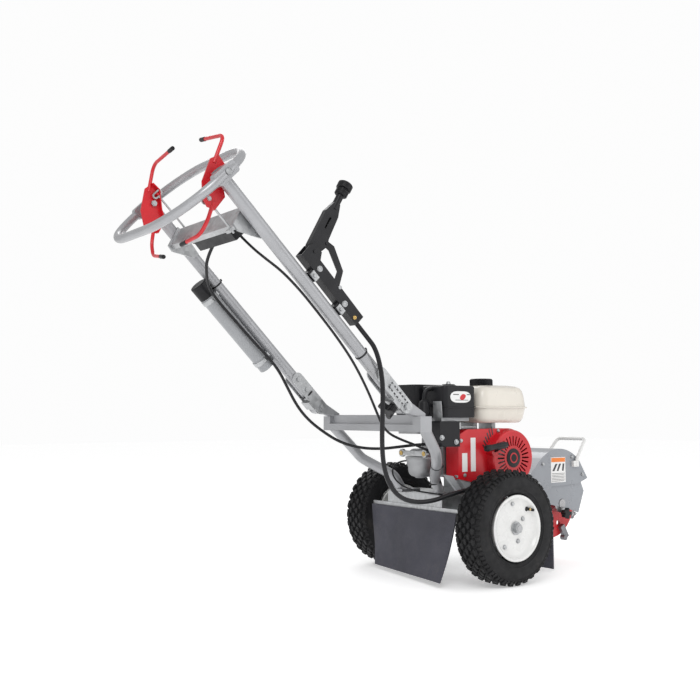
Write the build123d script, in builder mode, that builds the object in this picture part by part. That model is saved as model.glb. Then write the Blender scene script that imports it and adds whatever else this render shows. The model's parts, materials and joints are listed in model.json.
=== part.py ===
from build123d import *
import os
from math import cos, pi, radians, sin, tan

os.makedirs("parts", exist_ok=True)

# Walk-behind stump grinder. Millimetres, +X forward to the cutter, +Y left, +Z up.
# The origin is on the ground below the middle of the machine's bounding box.

# ---- Driving dimensions ----------------------------------------------------
TYRE_R = 165.0
TYRE_W = 100.0
TRACK = 526.0
AXLE_X, AXLE_Z, AXLE_R = 223.0, 165.0, 12.5
RIM_R = 97.0
RUN = 0.05  # radial running clearance of every shaft in its hole

DECK_Z = 250.0  # top of the base frame
CRANK_X, CRANK_Z, CRANK_R = 340.0, 357.0, 10.0
CUTTER_X, CUTTER_Z, CUTTER_SHAFT_R = 697.0, 190.0, 15.0
BELT_Y = 115.0
CLUTCH_R, PULLEY_R = 40.0, 48.0

HINGE_X, HINGE_Z = -117.0, 511.0
HANDLE_DEG = 44.6  # slope of the handle tubes above the horizontal, rearwards
TUBE_R, TUBE_WALL, TUBE_Y = 17.5, 2.5, 209.0
TUBE_FOOT, TUBE_TOP = 50.0, 822.0
RING_S, RING_T = 806.0, -21.0  # middle of the steering ring along and above the tubes
RING_HALF_T, RING_HALF_Y, RING_TUBE_R = 160.0, 240.0, 12.0

COS, SIN = cos(radians(HANDLE_DEG)), sin(radians(HANDLE_DEG))


# ---- Frames and helpers ----------------------------------------------------
def on_handle(s, t, y):
    """A point s along the handle tubes from the hinge, t above them, y to the left."""
    return (HINGE_X - s * COS + t * SIN, y, HINGE_Z + s * SIN + t * COS)


def side_plane(y):
    """Upright plane with local (x, z) of the machine; extrusion runs to -Y, its right-hand side."""
    return Plane(origin=(0, y, 0), x_dir=(1, 0, 0), z_dir=(0, -1, 0))


def handle_plane(y):
    """Upright plane with local (s, t) of the handle; extrusion runs to +Y."""
    return Plane(origin=(HINGE_X, y, HINGE_Z), x_dir=(-COS, 0, SIN), z_dir=(0, 1, 0))


def along_handle(s, t, y):
    """Plane square to the handle tubes with local (t, y); extrusion runs up the tubes."""
    return Plane(origin=on_handle(s, t, y), x_dir=(SIN, 0, COS), z_dir=(-COS, 0, SIN))


def across(x, y, z):
    """Plane square to +Y at a point, for shafts and wheels; extrusion runs to +Y."""
    return Plane(origin=(x, y, z), x_dir=(-1, 0, 0), z_dir=(0, 1, 0))


def arc_radii(points):
    """The largest even fillet that two neighbouring runs allow at each corner of a route."""
    route = [Vector(*p) for p in points]
    radii = []
    for before, here, after in zip(route, route[1:], route[2:]):
        turn = (here - before).get_angle(after - here)
        shorter = min((here - before).length, (after - here).length)
        radii.append(0.45 * shorter / tan(radians(turn) / 2))
    return radii


def tube_along(points, radius, bore=0.0, radii=None):
    """Sweep a round section along straight runs joined by tangent arcs."""
    with BuildPart() as tube:
        with BuildLine() as path:
            FilletPolyline(*points, radius=radii or arc_radii(points))
        with BuildSketch(Plane(origin=path.line @ 0, z_dir=path.line % 0)):
            Circle(radius)
            if bore:
                Circle(bore, mode=Mode.SUBTRACT)
        sweep(path=path.line)
    return tube.part


def report_cable(name, points, radius, solid):
    """Print a cable's arc radii and compare its volume with section times length."""
    with BuildLine() as path:
        FilletPolyline(*points, radius=arc_radii(points))
    length = sum(edge.length for edge in path.edges())
    ratio = solid.volume / (pi * radius ** 2 * length)
    print(name, "radii", [round(r) for r in arc_radii(points)])
    print(name, "length", round(length), "volume ratio", round(ratio, 4))


def save(piece, name):
    piece.part.label = name
    export_step(piece.part, "parts/" + name + ".step")


SIDES = (("left", 1), ("right", -1))

# ---- Wheels, axle and brake ------------------------------------------------
HUB_IN, HUB_OUT = 75.0, 41.0  # hub ends inboard and outboard of the tyre's middle
for side, sign in SIDES:
    middle = sign * TRACK / 2
    wheel_plane = Plane(origin=(AXLE_X, middle, AXLE_Z), x_dir=(1, 0, 0), z_dir=(0, 0, 1))
    turn_axis = Axis((AXLE_X, middle, AXLE_Z), (0, 1, 0))

    with BuildPart() as tyre:
        with BuildSketch(wheel_plane):
            with Locations((RIM_R - 4 + (TYRE_R - RIM_R + 4) / 2, 0)):
                RectangleRounded(TYRE_R - RIM_R + 4, TYRE_W, 20)
            with Locations((RIM_R + 24, 0)):
                RectangleRounded(68, TYRE_W - 22, 14, mode=Mode.SUBTRACT)
        revolve(axis=turn_axis)
    save(tyre, "tyre_" + side)

    with BuildPart() as rim:
        with BuildSketch(wheel_plane):
            with Locations((RIM_R - 10, 0)):
                Rectangle(5, TYRE_W - 24)
            for edge in (1, -1):
                with Locations((RIM_R - 5.1, edge * (TYRE_W / 2 - 6))):
                    RectangleRounded(5.7, 13, 2)
                with Locations((RIM_R - 8, edge * (TYRE_W / 2 - 12))):
                    Rectangle(9, 4)
            with Locations((RIM_R / 2 + 6, sign * (TYRE_W / 2 - 14))):
                Rectangle(RIM_R - 24, 4)
            with Locations((AXLE_R + RUN + 3.5, sign * (HUB_OUT - HUB_IN) / 2)):
                Rectangle(7, HUB_IN + HUB_OUT)
        revolve(axis=turn_axis)
        with Locations(across(AXLE_X, middle + sign * (TYRE_W / 2 - 14), AXLE_Z)):
            with PolarLocations(70, 3, 20):
                Hole(5.5)
    save(rim, "rim_" + side)

with BuildPart() as axle:
    with BuildSketch(across(AXLE_X, 0, AXLE_Z)):
        Circle(AXLE_R)
    extrude(amount=TRACK / 2 + HUB_OUT + 1, both=True)
    with BuildSketch(across(AXLE_X, 0, AXLE_Z)):
        Circle(8)
    extrude(amount=TRACK / 2 + 57, both=True)
save(axle, "axle")

DISC_Y = -(TRACK / 2 - HUB_IN)
with BuildPart() as brake_disc:
    with BuildSketch(across(AXLE_X, DISC_Y, AXLE_Z)):
        Circle(70)
        Circle(AXLE_R + RUN, mode=Mode.SUBTRACT)
        with PolarLocations(45, 6):
            Circle(9, mode=Mode.SUBTRACT)
    extrude(amount=5)
save(brake_disc, "brake_disc")

CALIPER_X = AXLE_X + 62
CALIPER_IN = DISC_Y + 17  # inboard face of the caliper
with BuildPart() as brake_caliper:
    with BuildSketch(side_plane(DISC_Y - 12)):
        with Locations((CALIPER_X, AXLE_Z + 32)):
            RectangleRounded(44, 62, 6)
    extrude(amount=-29)
    with BuildSketch(side_plane(DISC_Y - 1.2)):
        with Locations((AXLE_X, AXLE_Z)):
            Circle(73)
    extrude(amount=-7.4, mode=Mode.SUBTRACT)
    with BuildSketch(across(CALIPER_X, DISC_Y + 10, AXLE_Z + 27)):
        Circle(4)
    extrude(amount=16)
save(brake_caliper, "brake_caliper")

ARM_PIVOT = (CALIPER_X, DISC_Y + 17.5, AXLE_Z + 27)
with BuildPart() as caliper_arm:
    with BuildSketch(across(*ARM_PIVOT)):
        SlotCenterPoint((11, 16), (22, 32), 16)
        Circle(4 + RUN, mode=Mode.SUBTRACT)
    extrude(amount=6)
save(caliper_arm, "caliper_arm")

# ---- Base frame ------------------------------------------------------------
FLAP_BAR_X = 511.0
FRAME_X0, FRAME_X1 = 97.0, 542.0
RAIL_Y, RAIL_W, RAIL_H = 78.0, 40.0, 44.0
with BuildPart() as base_frame:
    for _, sign in SIDES:
        with Locations(((FRAME_X0 + FRAME_X1) / 2, sign * RAIL_Y, DECK_Z - 5 - RAIL_H / 2)):
            Box(FRAME_X1 - FRAME_X0, RAIL_W, RAIL_H)
            Box(FRAME_X1 - FRAME_X0 + 10, RAIL_W - 8, RAIL_H - 8, mode=Mode.SUBTRACT)
    with Locations(((FRAME_X0 + 470) / 2, 0, DECK_Z - 2.5)):
        Box(470 - FRAME_X0, 2 * RAIL_Y + RAIL_W, 5)
    with Locations(((FRAME_X0 + 260) / 2, 0, DECK_Z - 2.5)):
        Box(260 - FRAME_X0, 256, 5)
    with Locations((FRAME_X0 + 2.5, 0, DECK_Z - 27)):
        Box(5, 256, 44)
    with Locations((FRAME_X1 - 2.5, 0, DECK_Z - 27)):
        Box(5, 2 * RAIL_Y, 44)
    for _, sign in SIDES:
        with Locations((AXLE_X, sign * 140, DECK_Z - 20)):
            Box(70, 44, 40)
        with BuildSketch(side_plane(sign * 150)):
            with BuildLine():
                Polyline(
                    (AXLE_X - 60, 232), (AXLE_X + 60, 232), (AXLE_X + 24, 146), (AXLE_X - 24, 146),
                    close=True,
                )
            make_face()
            with Locations((AXLE_X, AXLE_Z)):
                Circle(AXLE_R, mode=Mode.SUBTRACT)
        extrude(amount=4, both=True)
    with Locations((CALIPER_X + 15, (CALIPER_IN - RAIL_Y - RAIL_W / 2) / 2, DECK_Z - 42)):
        Box(12, -CALIPER_IN - RAIL_Y - RAIL_W / 2, 14)
    with Locations((FLAP_BAR_X, 0, 163)):
        Box(5, 360, 46)
    for _, sign in SIDES:
        with Locations((FLAP_BAR_X, sign * RAIL_Y, 194)):
            Box(5, 30, 20)
    with Locations((FRAME_X0 - 1.5, 0, 205)):
        Box(3, 400, 22)
save(base_frame, "base_frame")

# Cross-member, its two bent legs and the hinge lugs are one weldment.
MEMBER_X0, MEMBER_X1, MEMBER_Z0, MEMBER_Z1 = -76.0, -35.0, 441.0, 488.0
MEMBER_HALF, LEDGE_Z, SHEET = 205.0, 461.0, 3.0
LEG_R = 16.0
LUG_R, BOLT_R = 20.0, 6.0
legs = []
for _, sign in SIDES:
    leg_route = [
        (-50, sign * 222, 452), (12, sign * 200, 382), (32, sign * 182, 352),
        (72, sign * 128, 318), (96, sign * 98, 300), (118, sign * 92, 262),
    ]
    legs.append(tube_along(leg_route, LEG_R, radii=[60, 60, 60, 40]))
with BuildPart() as support_frame:
    add(legs)
    for inset, mode in ((0, Mode.ADD), (SHEET, Mode.SUBTRACT)):
        with BuildSketch(side_plane(MEMBER_HALF)):
            with BuildLine():
                Polyline(
                    (MEMBER_X0 + inset, MEMBER_Z0 + inset), (MEMBER_X1 - inset, MEMBER_Z0 + inset),
                    (MEMBER_X1 - inset, MEMBER_Z1 - inset), (MEMBER_X0 + 12 + inset, MEMBER_Z1 - inset),
                    (MEMBER_X0 + 12 + inset, LEDGE_Z - inset), (MEMBER_X0 + inset, LEDGE_Z - inset),
                    close=True,
                )
            make_face()
        extrude(amount=2 * MEMBER_HALF, mode=mode)
    for _, sign in SIDES:
        with Locations((138, sign * 86, DECK_Z + 4)):
            Box(74, 46, 8)
        with Locations((MEMBER_X0 + 20.5, sign * (MEMBER_HALF + 16), 462)):
            Box(41, 34, 44)
        with BuildSketch(side_plane(sign * TUBE_Y + 14)):
            with BuildLine():
                Polyline(
                    (HINGE_X - 14, HINGE_Z - 14), (HINGE_X + 9, HINGE_Z + 17.5), (-45, MEMBER_Z1 + 4),
                    (-45, MEMBER_Z1 - 4), (-70, MEMBER_Z1 - 4), close=True,
                )
            make_face()
            with Locations((HINGE_X, HINGE_Z)):
                Circle(LUG_R)
        extrude(amount=28)
    with BuildSketch(side_plane(240)):
        with Locations((HINGE_X, HINGE_Z)):
            Circle(BOLT_R)
    extrude(amount=480, mode=Mode.SUBTRACT)
save(support_frame, "support_frame")

# ---- Handle hinge ----------------------------------------------------------
CHEEK = 4.0
NUT_Y = TRACK / 2 + HUB_OUT + 1
HINGE_HEAD = TUBE_R + CHEEK + 1
with BuildPart() as frame_bolts:
    for _, sign in SIDES:
        with BuildSketch(across(HINGE_X, sign * TUBE_Y - HINGE_HEAD - 8, HINGE_Z)):
            Circle(BOLT_R)
        extrude(amount=2 * HINGE_HEAD + 16)
        for head, length in ((HINGE_HEAD, 8), (-HINGE_HEAD, -8)):
            with BuildSketch(across(HINGE_X, sign * TUBE_Y + head, HINGE_Z)):
                RegularPolygon(11, 6)
            extrude(amount=length)
        with BuildSketch(across(AXLE_X, sign * NUT_Y, AXLE_Z)):
            Circle(19)
            Circle(8, mode=Mode.SUBTRACT)
        extrude(amount=sign * 3)
        with BuildSketch(across(AXLE_X, sign * (NUT_Y + 3), AXLE_Z)):
            RegularPolygon(14, 6)
            Circle(8, mode=Mode.SUBTRACT)
        extrude(amount=sign * 11)
save(frame_bolts, "frame_bolts")

WEB_T = LUG_R + 0.5
LOCK_S = 28.0
CLEVIS_BOLTS = (78, 122)
with BuildPart() as handle_clevises:
    for _, sign in SIDES:
        for inner in (TUBE_R, -TUBE_R - CHEEK):
            with BuildSketch(handle_plane(sign * TUBE_Y + inner)):
                with Locations((62, 0)):
                    SlotOverall(162, 38)
                with Locations((30, -WEB_T + 1)):
                    Rectangle(30, 10)
                Circle(BOLT_R + RUN, mode=Mode.SUBTRACT)
                with Locations([(s, 0) for s in CLEVIS_BOLTS]):
                    Circle(4, mode=Mode.SUBTRACT)
            extrude(amount=CHEEK)
        with BuildSketch(along_handle(15, -WEB_T - 2, sign * TUBE_Y)):
            Rectangle(4, 2 * (TUBE_R + CHEEK))
        extrude(amount=30)
save(handle_clevises, "handle_clevises")

with BuildPart() as handle_tubes:
    for _, sign in SIDES:
        with BuildSketch(along_handle(TUBE_FOOT, 0, sign * TUBE_Y)):
            Circle(TUBE_R)
            Circle(TUBE_R - TUBE_WALL, mode=Mode.SUBTRACT)
        extrude(amount=TUBE_TOP - TUBE_FOOT)
    with BuildSketch(handle_plane(-TUBE_Y - 30)):
        with Locations([(s, 0) for s in CLEVIS_BOLTS]):
            Circle(4)
        with Locations((RING_S, 0)):
            Circle(5)
    extrude(amount=2 * TUBE_Y + 60, mode=Mode.SUBTRACT)
save(handle_tubes, "handle_tubes")

DOWN = (-SIN, 0, -COS)  # square to the tubes, towards the ground
with BuildPart() as lock_knob:
    with BuildSketch(Plane(origin=on_handle(LOCK_S, -WEB_T - 4.3, -TUBE_Y), z_dir=DOWN)):
        Circle(8)
    extrude(amount=9)
    with BuildSketch(Plane(origin=on_handle(LOCK_S, -WEB_T - 12, -TUBE_Y), z_dir=DOWN)):
        Circle(13)
        with PolarLocations(15, 3, 30):
            SlotOverall(30, 15)
    extrude(amount=18)
save(lock_knob, "lock_knob")

# ---- Steering ring ---------------------------------------------------------
LONG_FLAT, SHORT_FLAT = 128.0, 85.0  # half of each side's straight part before rounding
RING_CORNERS = [
    (RING_HALF_T, LONG_FLAT), (SHORT_FLAT, RING_HALF_Y), (-SHORT_FLAT, RING_HALF_Y),
    (-RING_HALF_T, LONG_FLAT), (-RING_HALF_T, -LONG_FLAT), (-SHORT_FLAT, -RING_HALF_Y),
    (SHORT_FLAT, -RING_HALF_Y), (RING_HALF_T, -LONG_FLAT),
]
RING_ROUNDS = [200, 135, 135, 200, 200, 135, 135, 200]
with BuildPart() as handle_ring:
    with BuildLine(along_handle(RING_S, RING_T, 0)) as rim_line:
        FilletPolyline(*RING_CORNERS, radius=RING_ROUNDS, close=True)
    with BuildSketch(Plane(origin=rim_line.line @ 0, z_dir=rim_line.line % 0)):
        Circle(RING_TUBE_R)
    sweep(path=rim_line.line)
    for _, sign in SIDES:
        with BuildSketch(handle_plane(sign * (TUBE_Y + TUBE_R))):
            with Locations((RING_S, -4)):
                RectangleRounded(34, 74, 8)
        extrude(amount=sign * 20)
        with BuildSketch(handle_plane(sign * (TUBE_Y + TUBE_R + 20))):
            with Locations((RING_S, 0)):
                Circle(10)
        extrude(amount=sign * 20, mode=Mode.SUBTRACT)
        with BuildSketch(handle_plane(sign * (TUBE_Y + TUBE_R))):
            with Locations((RING_S, 0)):
                Circle(5)
        extrude(amount=sign * 40, mode=Mode.SUBTRACT)
save(handle_ring, "handle_ring")

BAIL_Y, BAIL_PLATE = 186.5, 4.0  # inner face and thickness of the bail plates
BAIL_ROD_R = 5.0
with BuildPart() as handle_bolts:
    for _, sign in SIDES:
        with BuildSketch(handle_plane(sign * (BAIL_Y - 2))):
            with Locations((RING_S, 0)):
                Circle(5)
        extrude(amount=sign * (TUBE_Y + TUBE_R + 22 - BAIL_Y))
        for head, length in ((TUBE_Y + TUBE_R + 20, 6), (BAIL_Y - 0.5, -6)):
            with BuildSketch(handle_plane(sign * head)):
                with Locations((RING_S, 0)):
                    RegularPolygon(9, 6)
            extrude(amount=sign * length)
        for s in CLEVIS_BOLTS:
            with BuildSketch(handle_plane(sign * TUBE_Y - TUBE_R - CHEEK)):
                with Locations((s, 0)):
                    Circle(4)
            extrude(amount=2 * (TUBE_R + CHEEK))
            for head, length in ((TUBE_R + CHEEK, 5), (-TUBE_R - CHEEK, -5)):
                with BuildSketch(handle_plane(sign * TUBE_Y + head)):
                    with Locations((s, 0)):
                        RegularPolygon(7.5, 6)
                extrude(amount=length)
save(handle_bolts, "handle_bolts")

# ---- Bail levers and their link rods ---------------------------------------
BAIL_PLATE_OUTLINE = [
    (44, 18), (37, 42), (12, 40), (-26, -2), (-50, -18), (-56, -62), (-38, -75), (-16, -70), (17, -41),
]
BAIL_REST = {"left": -10.5, "right": 0.0}  # the left lever rests further forward
PIN_AT = {"left": (9, 26), "right": (-26, -56)}
LINK_R, PIN_R = 3.0, 3.5
LINK_Y = BAIL_Y - 8.0
LINK_END = 672.0


def turned(point, side):
    """Turn a lever's local (s, t) point to its rest angle, as a place on the handle."""
    angle = radians(BAIL_REST[side])
    s = point[0] * cos(angle) - point[1] * sin(angle)
    t = point[0] * sin(angle) + point[1] * cos(angle)
    return (RING_S + s, t)


for side, sign in SIDES:
    mid_y = sign * (BAIL_Y + BAIL_PLATE / 2)
    upper = [(30, 18, mid_y), (64, 92, mid_y), (76, 105, sign * 60)]
    lower = [(-40, -52, mid_y), (-64, -98, mid_y), (-80, -128, sign * 168), (-83, -144, sign * 85)]
    pin = turned(PIN_AT[side], side)
    rods = []
    for rod, bends in ((upper, [26]), (lower, [60, 34])):
        rod_route = [on_handle(*turned(bend[:2], side), bend[2]) for bend in rod]
        rods.append(tube_along(rod_route, BAIL_ROD_R, radii=bends))
    with BuildPart() as bail:
        with BuildSketch(handle_plane(sign * BAIL_Y)):
            with BuildLine():
                Polyline(*[turned(corner, side) for corner in BAIL_PLATE_OUTLINE], close=True)
            make_face()
            with Locations((RING_S, 0)):
                Circle(5 + RUN, mode=Mode.SUBTRACT)
        extrude(amount=sign * BAIL_PLATE)
        add(rods)
        with BuildSketch(handle_plane(sign * (LINK_Y - 4))):
            with Locations(pin):
                Circle(PIN_R)
        extrude(amount=sign * (BAIL_Y - LINK_Y + 4.5))
    save(bail, "bail_" + side)

    with BuildPart() as bail_link:
        with BuildSketch(handle_plane(sign * (LINK_Y - 2))):
            with Locations(pin):
                SlotOverall(34, 18, rotation=90)
                SlotOverall(25, 9, rotation=90, mode=Mode.SUBTRACT)
        extrude(amount=sign * 4)
        with BuildSketch(along_handle(LINK_END, pin[1], sign * LINK_Y)):
            Circle(LINK_R)
        extrude(amount=pin[0] - 7 - LINK_END)
    save(bail_link, "bail_link_" + side)

# ---- Control panel and switch box ------------------------------------------
PANEL_FRONT, PANEL_REAR = (705, 12), (688, -42)
with BuildPart() as control_panel:
    with BuildSketch(handle_plane(-185)):
        with BuildLine():
            Polyline(
                PANEL_FRONT, (693, 15), (693, 12), (702, 9), (686, -40), (674, -40), (674, -43), PANEL_REAR,
                close=True,
            )
        make_face()
    extrude(amount=370)
    for side, sign in SIDES:
        with BuildSketch(handle_plane(sign * 185)):
            with BuildLine():
                Polyline((712, 12), (692, -48), (672, -50), (615, -10), (615, 8), (690, 16), close=True)
            make_face()
        extrude(amount=sign * 6.5)
        with BuildSketch(along_handle(680, turned(PIN_AT[side], side)[1], sign * LINK_Y)):
            Rectangle(24, 20)
            Circle(LINK_R + 0.4, mode=Mode.SUBTRACT)
        extrude(amount=8)
save(control_panel, "control_panel")

with BuildPart() as switch_box:
    with BuildSketch(handle_plane(-130)):
        with BuildLine():
            Polyline((642, -38), (642, 4), (699, 7), (685.5, -37), close=True)
        make_face()
    extrude(amount=200)
    fillet(switch_box.edges().filter_by(Axis.Y), 3)
save(switch_box, "switch_box")

# ---- Manual canister under the left tube -----------------------------------
CANISTER_T, CANISTER_R = -45.0, 24.0
with BuildPart() as canister:
    with BuildSketch(along_handle(218, CANISTER_T, TUBE_Y)):
        Circle(CANISTER_R)
    extrude(amount=284)
    with BuildSketch(along_handle(222, CANISTER_T, TUBE_Y)):
        Circle(CANISTER_R - 2.5)
    extrude(amount=290, mode=Mode.SUBTRACT)
    for s in (236, 470):
        with BuildSketch(along_handle(s, -20.2, TUBE_Y)):
            Rectangle(5.2, 14)
        extrude(amount=22)
save(canister, "canister")

with BuildPart() as canister_cap:
    with BuildSketch(along_handle(502.1, CANISTER_T, TUBE_Y)):
        Circle(CANISTER_R + 1.5)
    extrude(amount=46)
    with BuildSketch(along_handle(502.1, CANISTER_T, TUBE_Y)):
        Circle(CANISTER_R - 2)
    extrude(amount=42, mode=Mode.SUBTRACT)
    fillet(canister_cap.faces().sort_by(Axis((0, 0, 0), (-COS, 0, SIN)))[-1].edges(), 3)
save(canister_cap, "canister_cap")

# ---- Parking-brake lever on the right tube ---------------------------------
BRAKE_Y = -TUBE_Y
ARM_S, ARM_T, ARM_DEG = 498.0, 73.0, 74.3  # pivot, and slope of the arm above the tube
SLIDER_T = 62.0
TOP_PIN_S, TOP_PIN_T = 487.0, 121.0
CHANNEL_HALF, CHANNEL_WALL = 15.0, 3.0
CHANNEL_FOOT = 272.0
with BuildPart() as lever_bracket:
    with BuildSketch(handle_plane(BRAKE_Y - CHANNEL_HALF)):
        with BuildLine():
            Polyline(
                (CHANNEL_FOOT, 35), (CHANNEL_FOOT, 68), (470, 70), (482, 88), (514, 88), (520, 74),
                (518, 35), close=True,
            )
        make_face()
    extrude(amount=2 * CHANNEL_HALF)
    with BuildSketch(handle_plane(BRAKE_Y - CHANNEL_HALF + CHANNEL_WALL)):
        with Locations((402, 73)):
            Rectangle(254, 70)
    extrude(amount=2 * (CHANNEL_HALF - CHANNEL_WALL), mode=Mode.SUBTRACT)
    with BuildSketch(handle_plane(BRAKE_Y - CHANNEL_HALF)):
        with Locations((ARM_S, ARM_T)):
            Circle(5 + RUN)
    extrude(amount=2 * CHANNEL_HALF, mode=Mode.SUBTRACT)
    for s in (340, 457):
        with BuildSketch(along_handle(s - 14, TUBE_R + 8.8, BRAKE_Y)):
            Rectangle(17.5, 24)
        extrude(amount=28)
save(lever_bracket, "lever_bracket")

ARM_COS, ARM_SIN = cos(radians(ARM_DEG)), sin(radians(ARM_DEG))


def on_arm(along, off=0.0):
    """A place on the handle, given along the brake arm and off to its rear side."""
    return (ARM_S + along * ARM_COS + off * ARM_SIN, ARM_T + along * ARM_SIN - off * ARM_COS)


ARM_AXIS = (-ARM_COS * COS + ARM_SIN * SIN, 0, ARM_COS * SIN + ARM_SIN * COS)
KNOB_FROM, KNOB_LENGTH, KNOB_R = 186.0, 42.0, 22.0
CHEEK_IN, CHEEK_OUT = 5.0, 8.5
with BuildPart() as brake_arm:
    with BuildSketch(handle_plane(BRAKE_Y - CHEEK_OUT)):
        with BuildLine():
            Polyline(
                on_arm(-14, -12), on_arm(-14, 14), on_arm(10, 22), on_arm(122, 22), on_arm(160, 9),
                on_arm(160, -9), on_arm(126, -20), on_arm(56, -24), on_arm(38, -30), on_arm(10, -18),
                close=True,
            )
        make_face()
        with BuildLine():
            Polyline(on_arm(76, -3), on_arm(76, 3), on_arm(112, 3), on_arm(112, -3), close=True)
        make_face(mode=Mode.SUBTRACT)
    extrude(amount=2 * CHEEK_OUT)
    with BuildSketch(handle_plane(BRAKE_Y - CHEEK_IN)):
        with BuildLine():
            Polyline(on_arm(-20, -40), on_arm(-20, 18.5), on_arm(128, 18.5), on_arm(140, -40), close=True)
        make_face()
    extrude(amount=2 * CHEEK_IN, mode=Mode.SUBTRACT)
    shank = Plane(origin=on_handle(*on_arm(140), BRAKE_Y), z_dir=ARM_AXIS)
    with BuildSketch(shank):
        Circle(10.5)
    extrude(amount=KNOB_FROM - 141)
    with BuildSketch(shank):
        Circle(5)
    extrude(amount=KNOB_FROM + 20 - 140)
    for place, reach, radius in (
        ((ARM_S, ARM_T), CHANNEL_HALF + 2, 5), ((TOP_PIN_S, TOP_PIN_T), CHEEK_OUT + 2, 4),
    ):
        with BuildSketch(handle_plane(BRAKE_Y - reach)):
            with Locations(place):
                Circle(radius)
        extrude(amount=2 * reach)
save(brake_arm, "brake_arm")

with BuildPart() as brake_knob:
    knob_base = Plane(origin=on_handle(*on_arm(KNOB_FROM), BRAKE_Y), z_dir=ARM_AXIS)
    with BuildSketch(knob_base):
        Circle(KNOB_R)
        with PolarLocations(KNOB_R, 30):
            Circle(1.2, mode=Mode.SUBTRACT)
    extrude(amount=KNOB_LENGTH)
    with BuildSketch(knob_base):
        Circle(5 + RUN)
    extrude(amount=24, mode=Mode.SUBTRACT)
    with BuildSketch(knob_base.offset(16)):
        Circle(KNOB_R + 1)
        Circle(KNOB_R - 3, mode=Mode.SUBTRACT)
    extrude(amount=4, mode=Mode.SUBTRACT)
save(brake_knob, "brake_knob")

with BuildPart() as brake_link:
    with BuildSketch(handle_plane(BRAKE_Y - 2.5)):
        with BuildLine():
            Polyline(
                (496, 113), (494, 130), (464, 138), (398, 113), (376, 72), (378, 54), (389, 54), (409, 99),
                (466, 118), close=True,
            )
        make_face()
        with Locations((TOP_PIN_S, TOP_PIN_T)):
            Circle(4 + RUN, mode=Mode.SUBTRACT)
        with Locations((383.5, SLIDER_T)):
            Circle(4, mode=Mode.SUBTRACT)
    extrude(amount=5)
save(brake_link, "brake_link")

# ---- Engine ----------------------------------------------------------------
ENGINE_Y0, ENGINE_Y1 = -100.0, 45.0  # crankcase from the fan side to the drive side
CYLINDER_Y, CYLINDER_HALF = -50.0, 52.0
CYLINDER_X = 258.0
with BuildPart() as crankcase:
    with Locations((CRANK_X, (ENGINE_Y0 + ENGINE_Y1) / 2, DECK_Z + 6)):
        Box(200, ENGINE_Y1 - ENGINE_Y0 + 10, 12)
    with BuildSketch(side_plane(ENGINE_Y1)):
        with BuildLine():
            Polyline(
                (CYLINDER_X, DECK_Z + 12), (418, DECK_Z + 12), (424, CRANK_Z), (385, 428),
                (CYLINDER_X, 428), close=True,
            )
        make_face()
        fillet(vertices().filter_by(lambda v: v.X > 300), 14)
    extrude(amount=ENGINE_Y1 - ENGINE_Y0)
    with BuildSketch(across(CRANK_X, ENGINE_Y1, CRANK_Z)):
        Circle(34)
    extrude(amount=8)
    with BuildSketch(across(CRANK_X, ENGINE_Y0, CRANK_Z)):
        Circle(CRANK_R + RUN)
    extrude(amount=200, mode=Mode.SUBTRACT)
    for x in (290, 370):
        with Locations((x, -40, 445.5)):
            Box(16, 60, 35)
save(crankcase, "crankcase")

FIN_PITCH, FIN_COUNT = 9.0, 7
with BuildPart() as cylinder:
    with Locations(((CYLINDER_X + 185) / 2, CYLINDER_Y, 362)):
        Box(CYLINDER_X - 185, 84, 106)
    for fin in range(FIN_COUNT):
        with Locations((CYLINDER_X - 6 - fin * FIN_PITCH, CYLINDER_Y, 362)):
            Box(3, 2 * CYLINDER_HALF, 124)
    with Locations((157, CYLINDER_Y, 360)):
        Box(56.2, 2 * CYLINDER_HALF - 4, 116)
    with BuildSketch(Plane(origin=(129, -38, 344), x_dir=(0, 1, 0), z_dir=(-1, 0, 0))):
        RectangleRounded(88, 84, 22)
    extrude(amount=55)
    fillet(cylinder.faces().sort_by(Axis.X)[0].edges(), 10)
save(cylinder, "cylinder")

SHROUD_R = 90.0
SHROUD_Y0, SHROUD_Y1 = -160.0, -105.0
with BuildPart() as blower_housing:
    for inset, near, far, mode in (
        (0, SHROUD_Y1, SHROUD_Y0, Mode.ADD), (3, SHROUD_Y1 + 1, SHROUD_Y0 + 3, Mode.SUBTRACT),
    ):
        with BuildSketch(side_plane(near)):
            with BuildLine():
                Polyline(
                    (136 + inset, 300 + inset), (136 + inset, 428), (172, 445 - inset),
                    (CRANK_X, 447 - inset), (CRANK_X, 267 + inset), (280, 270 + inset), close=True,
                )
            make_face()
            with Locations((CRANK_X, CRANK_Z)):
                Circle(SHROUD_R - inset)
        extrude(amount=near - far, mode=mode)
    with BuildSketch(across(CRANK_X, SHROUD_Y0 - 1, CRANK_Z)):
        Circle(70)
    extrude(amount=6, mode=Mode.SUBTRACT)
save(blower_housing, "blower_housing")

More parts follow.
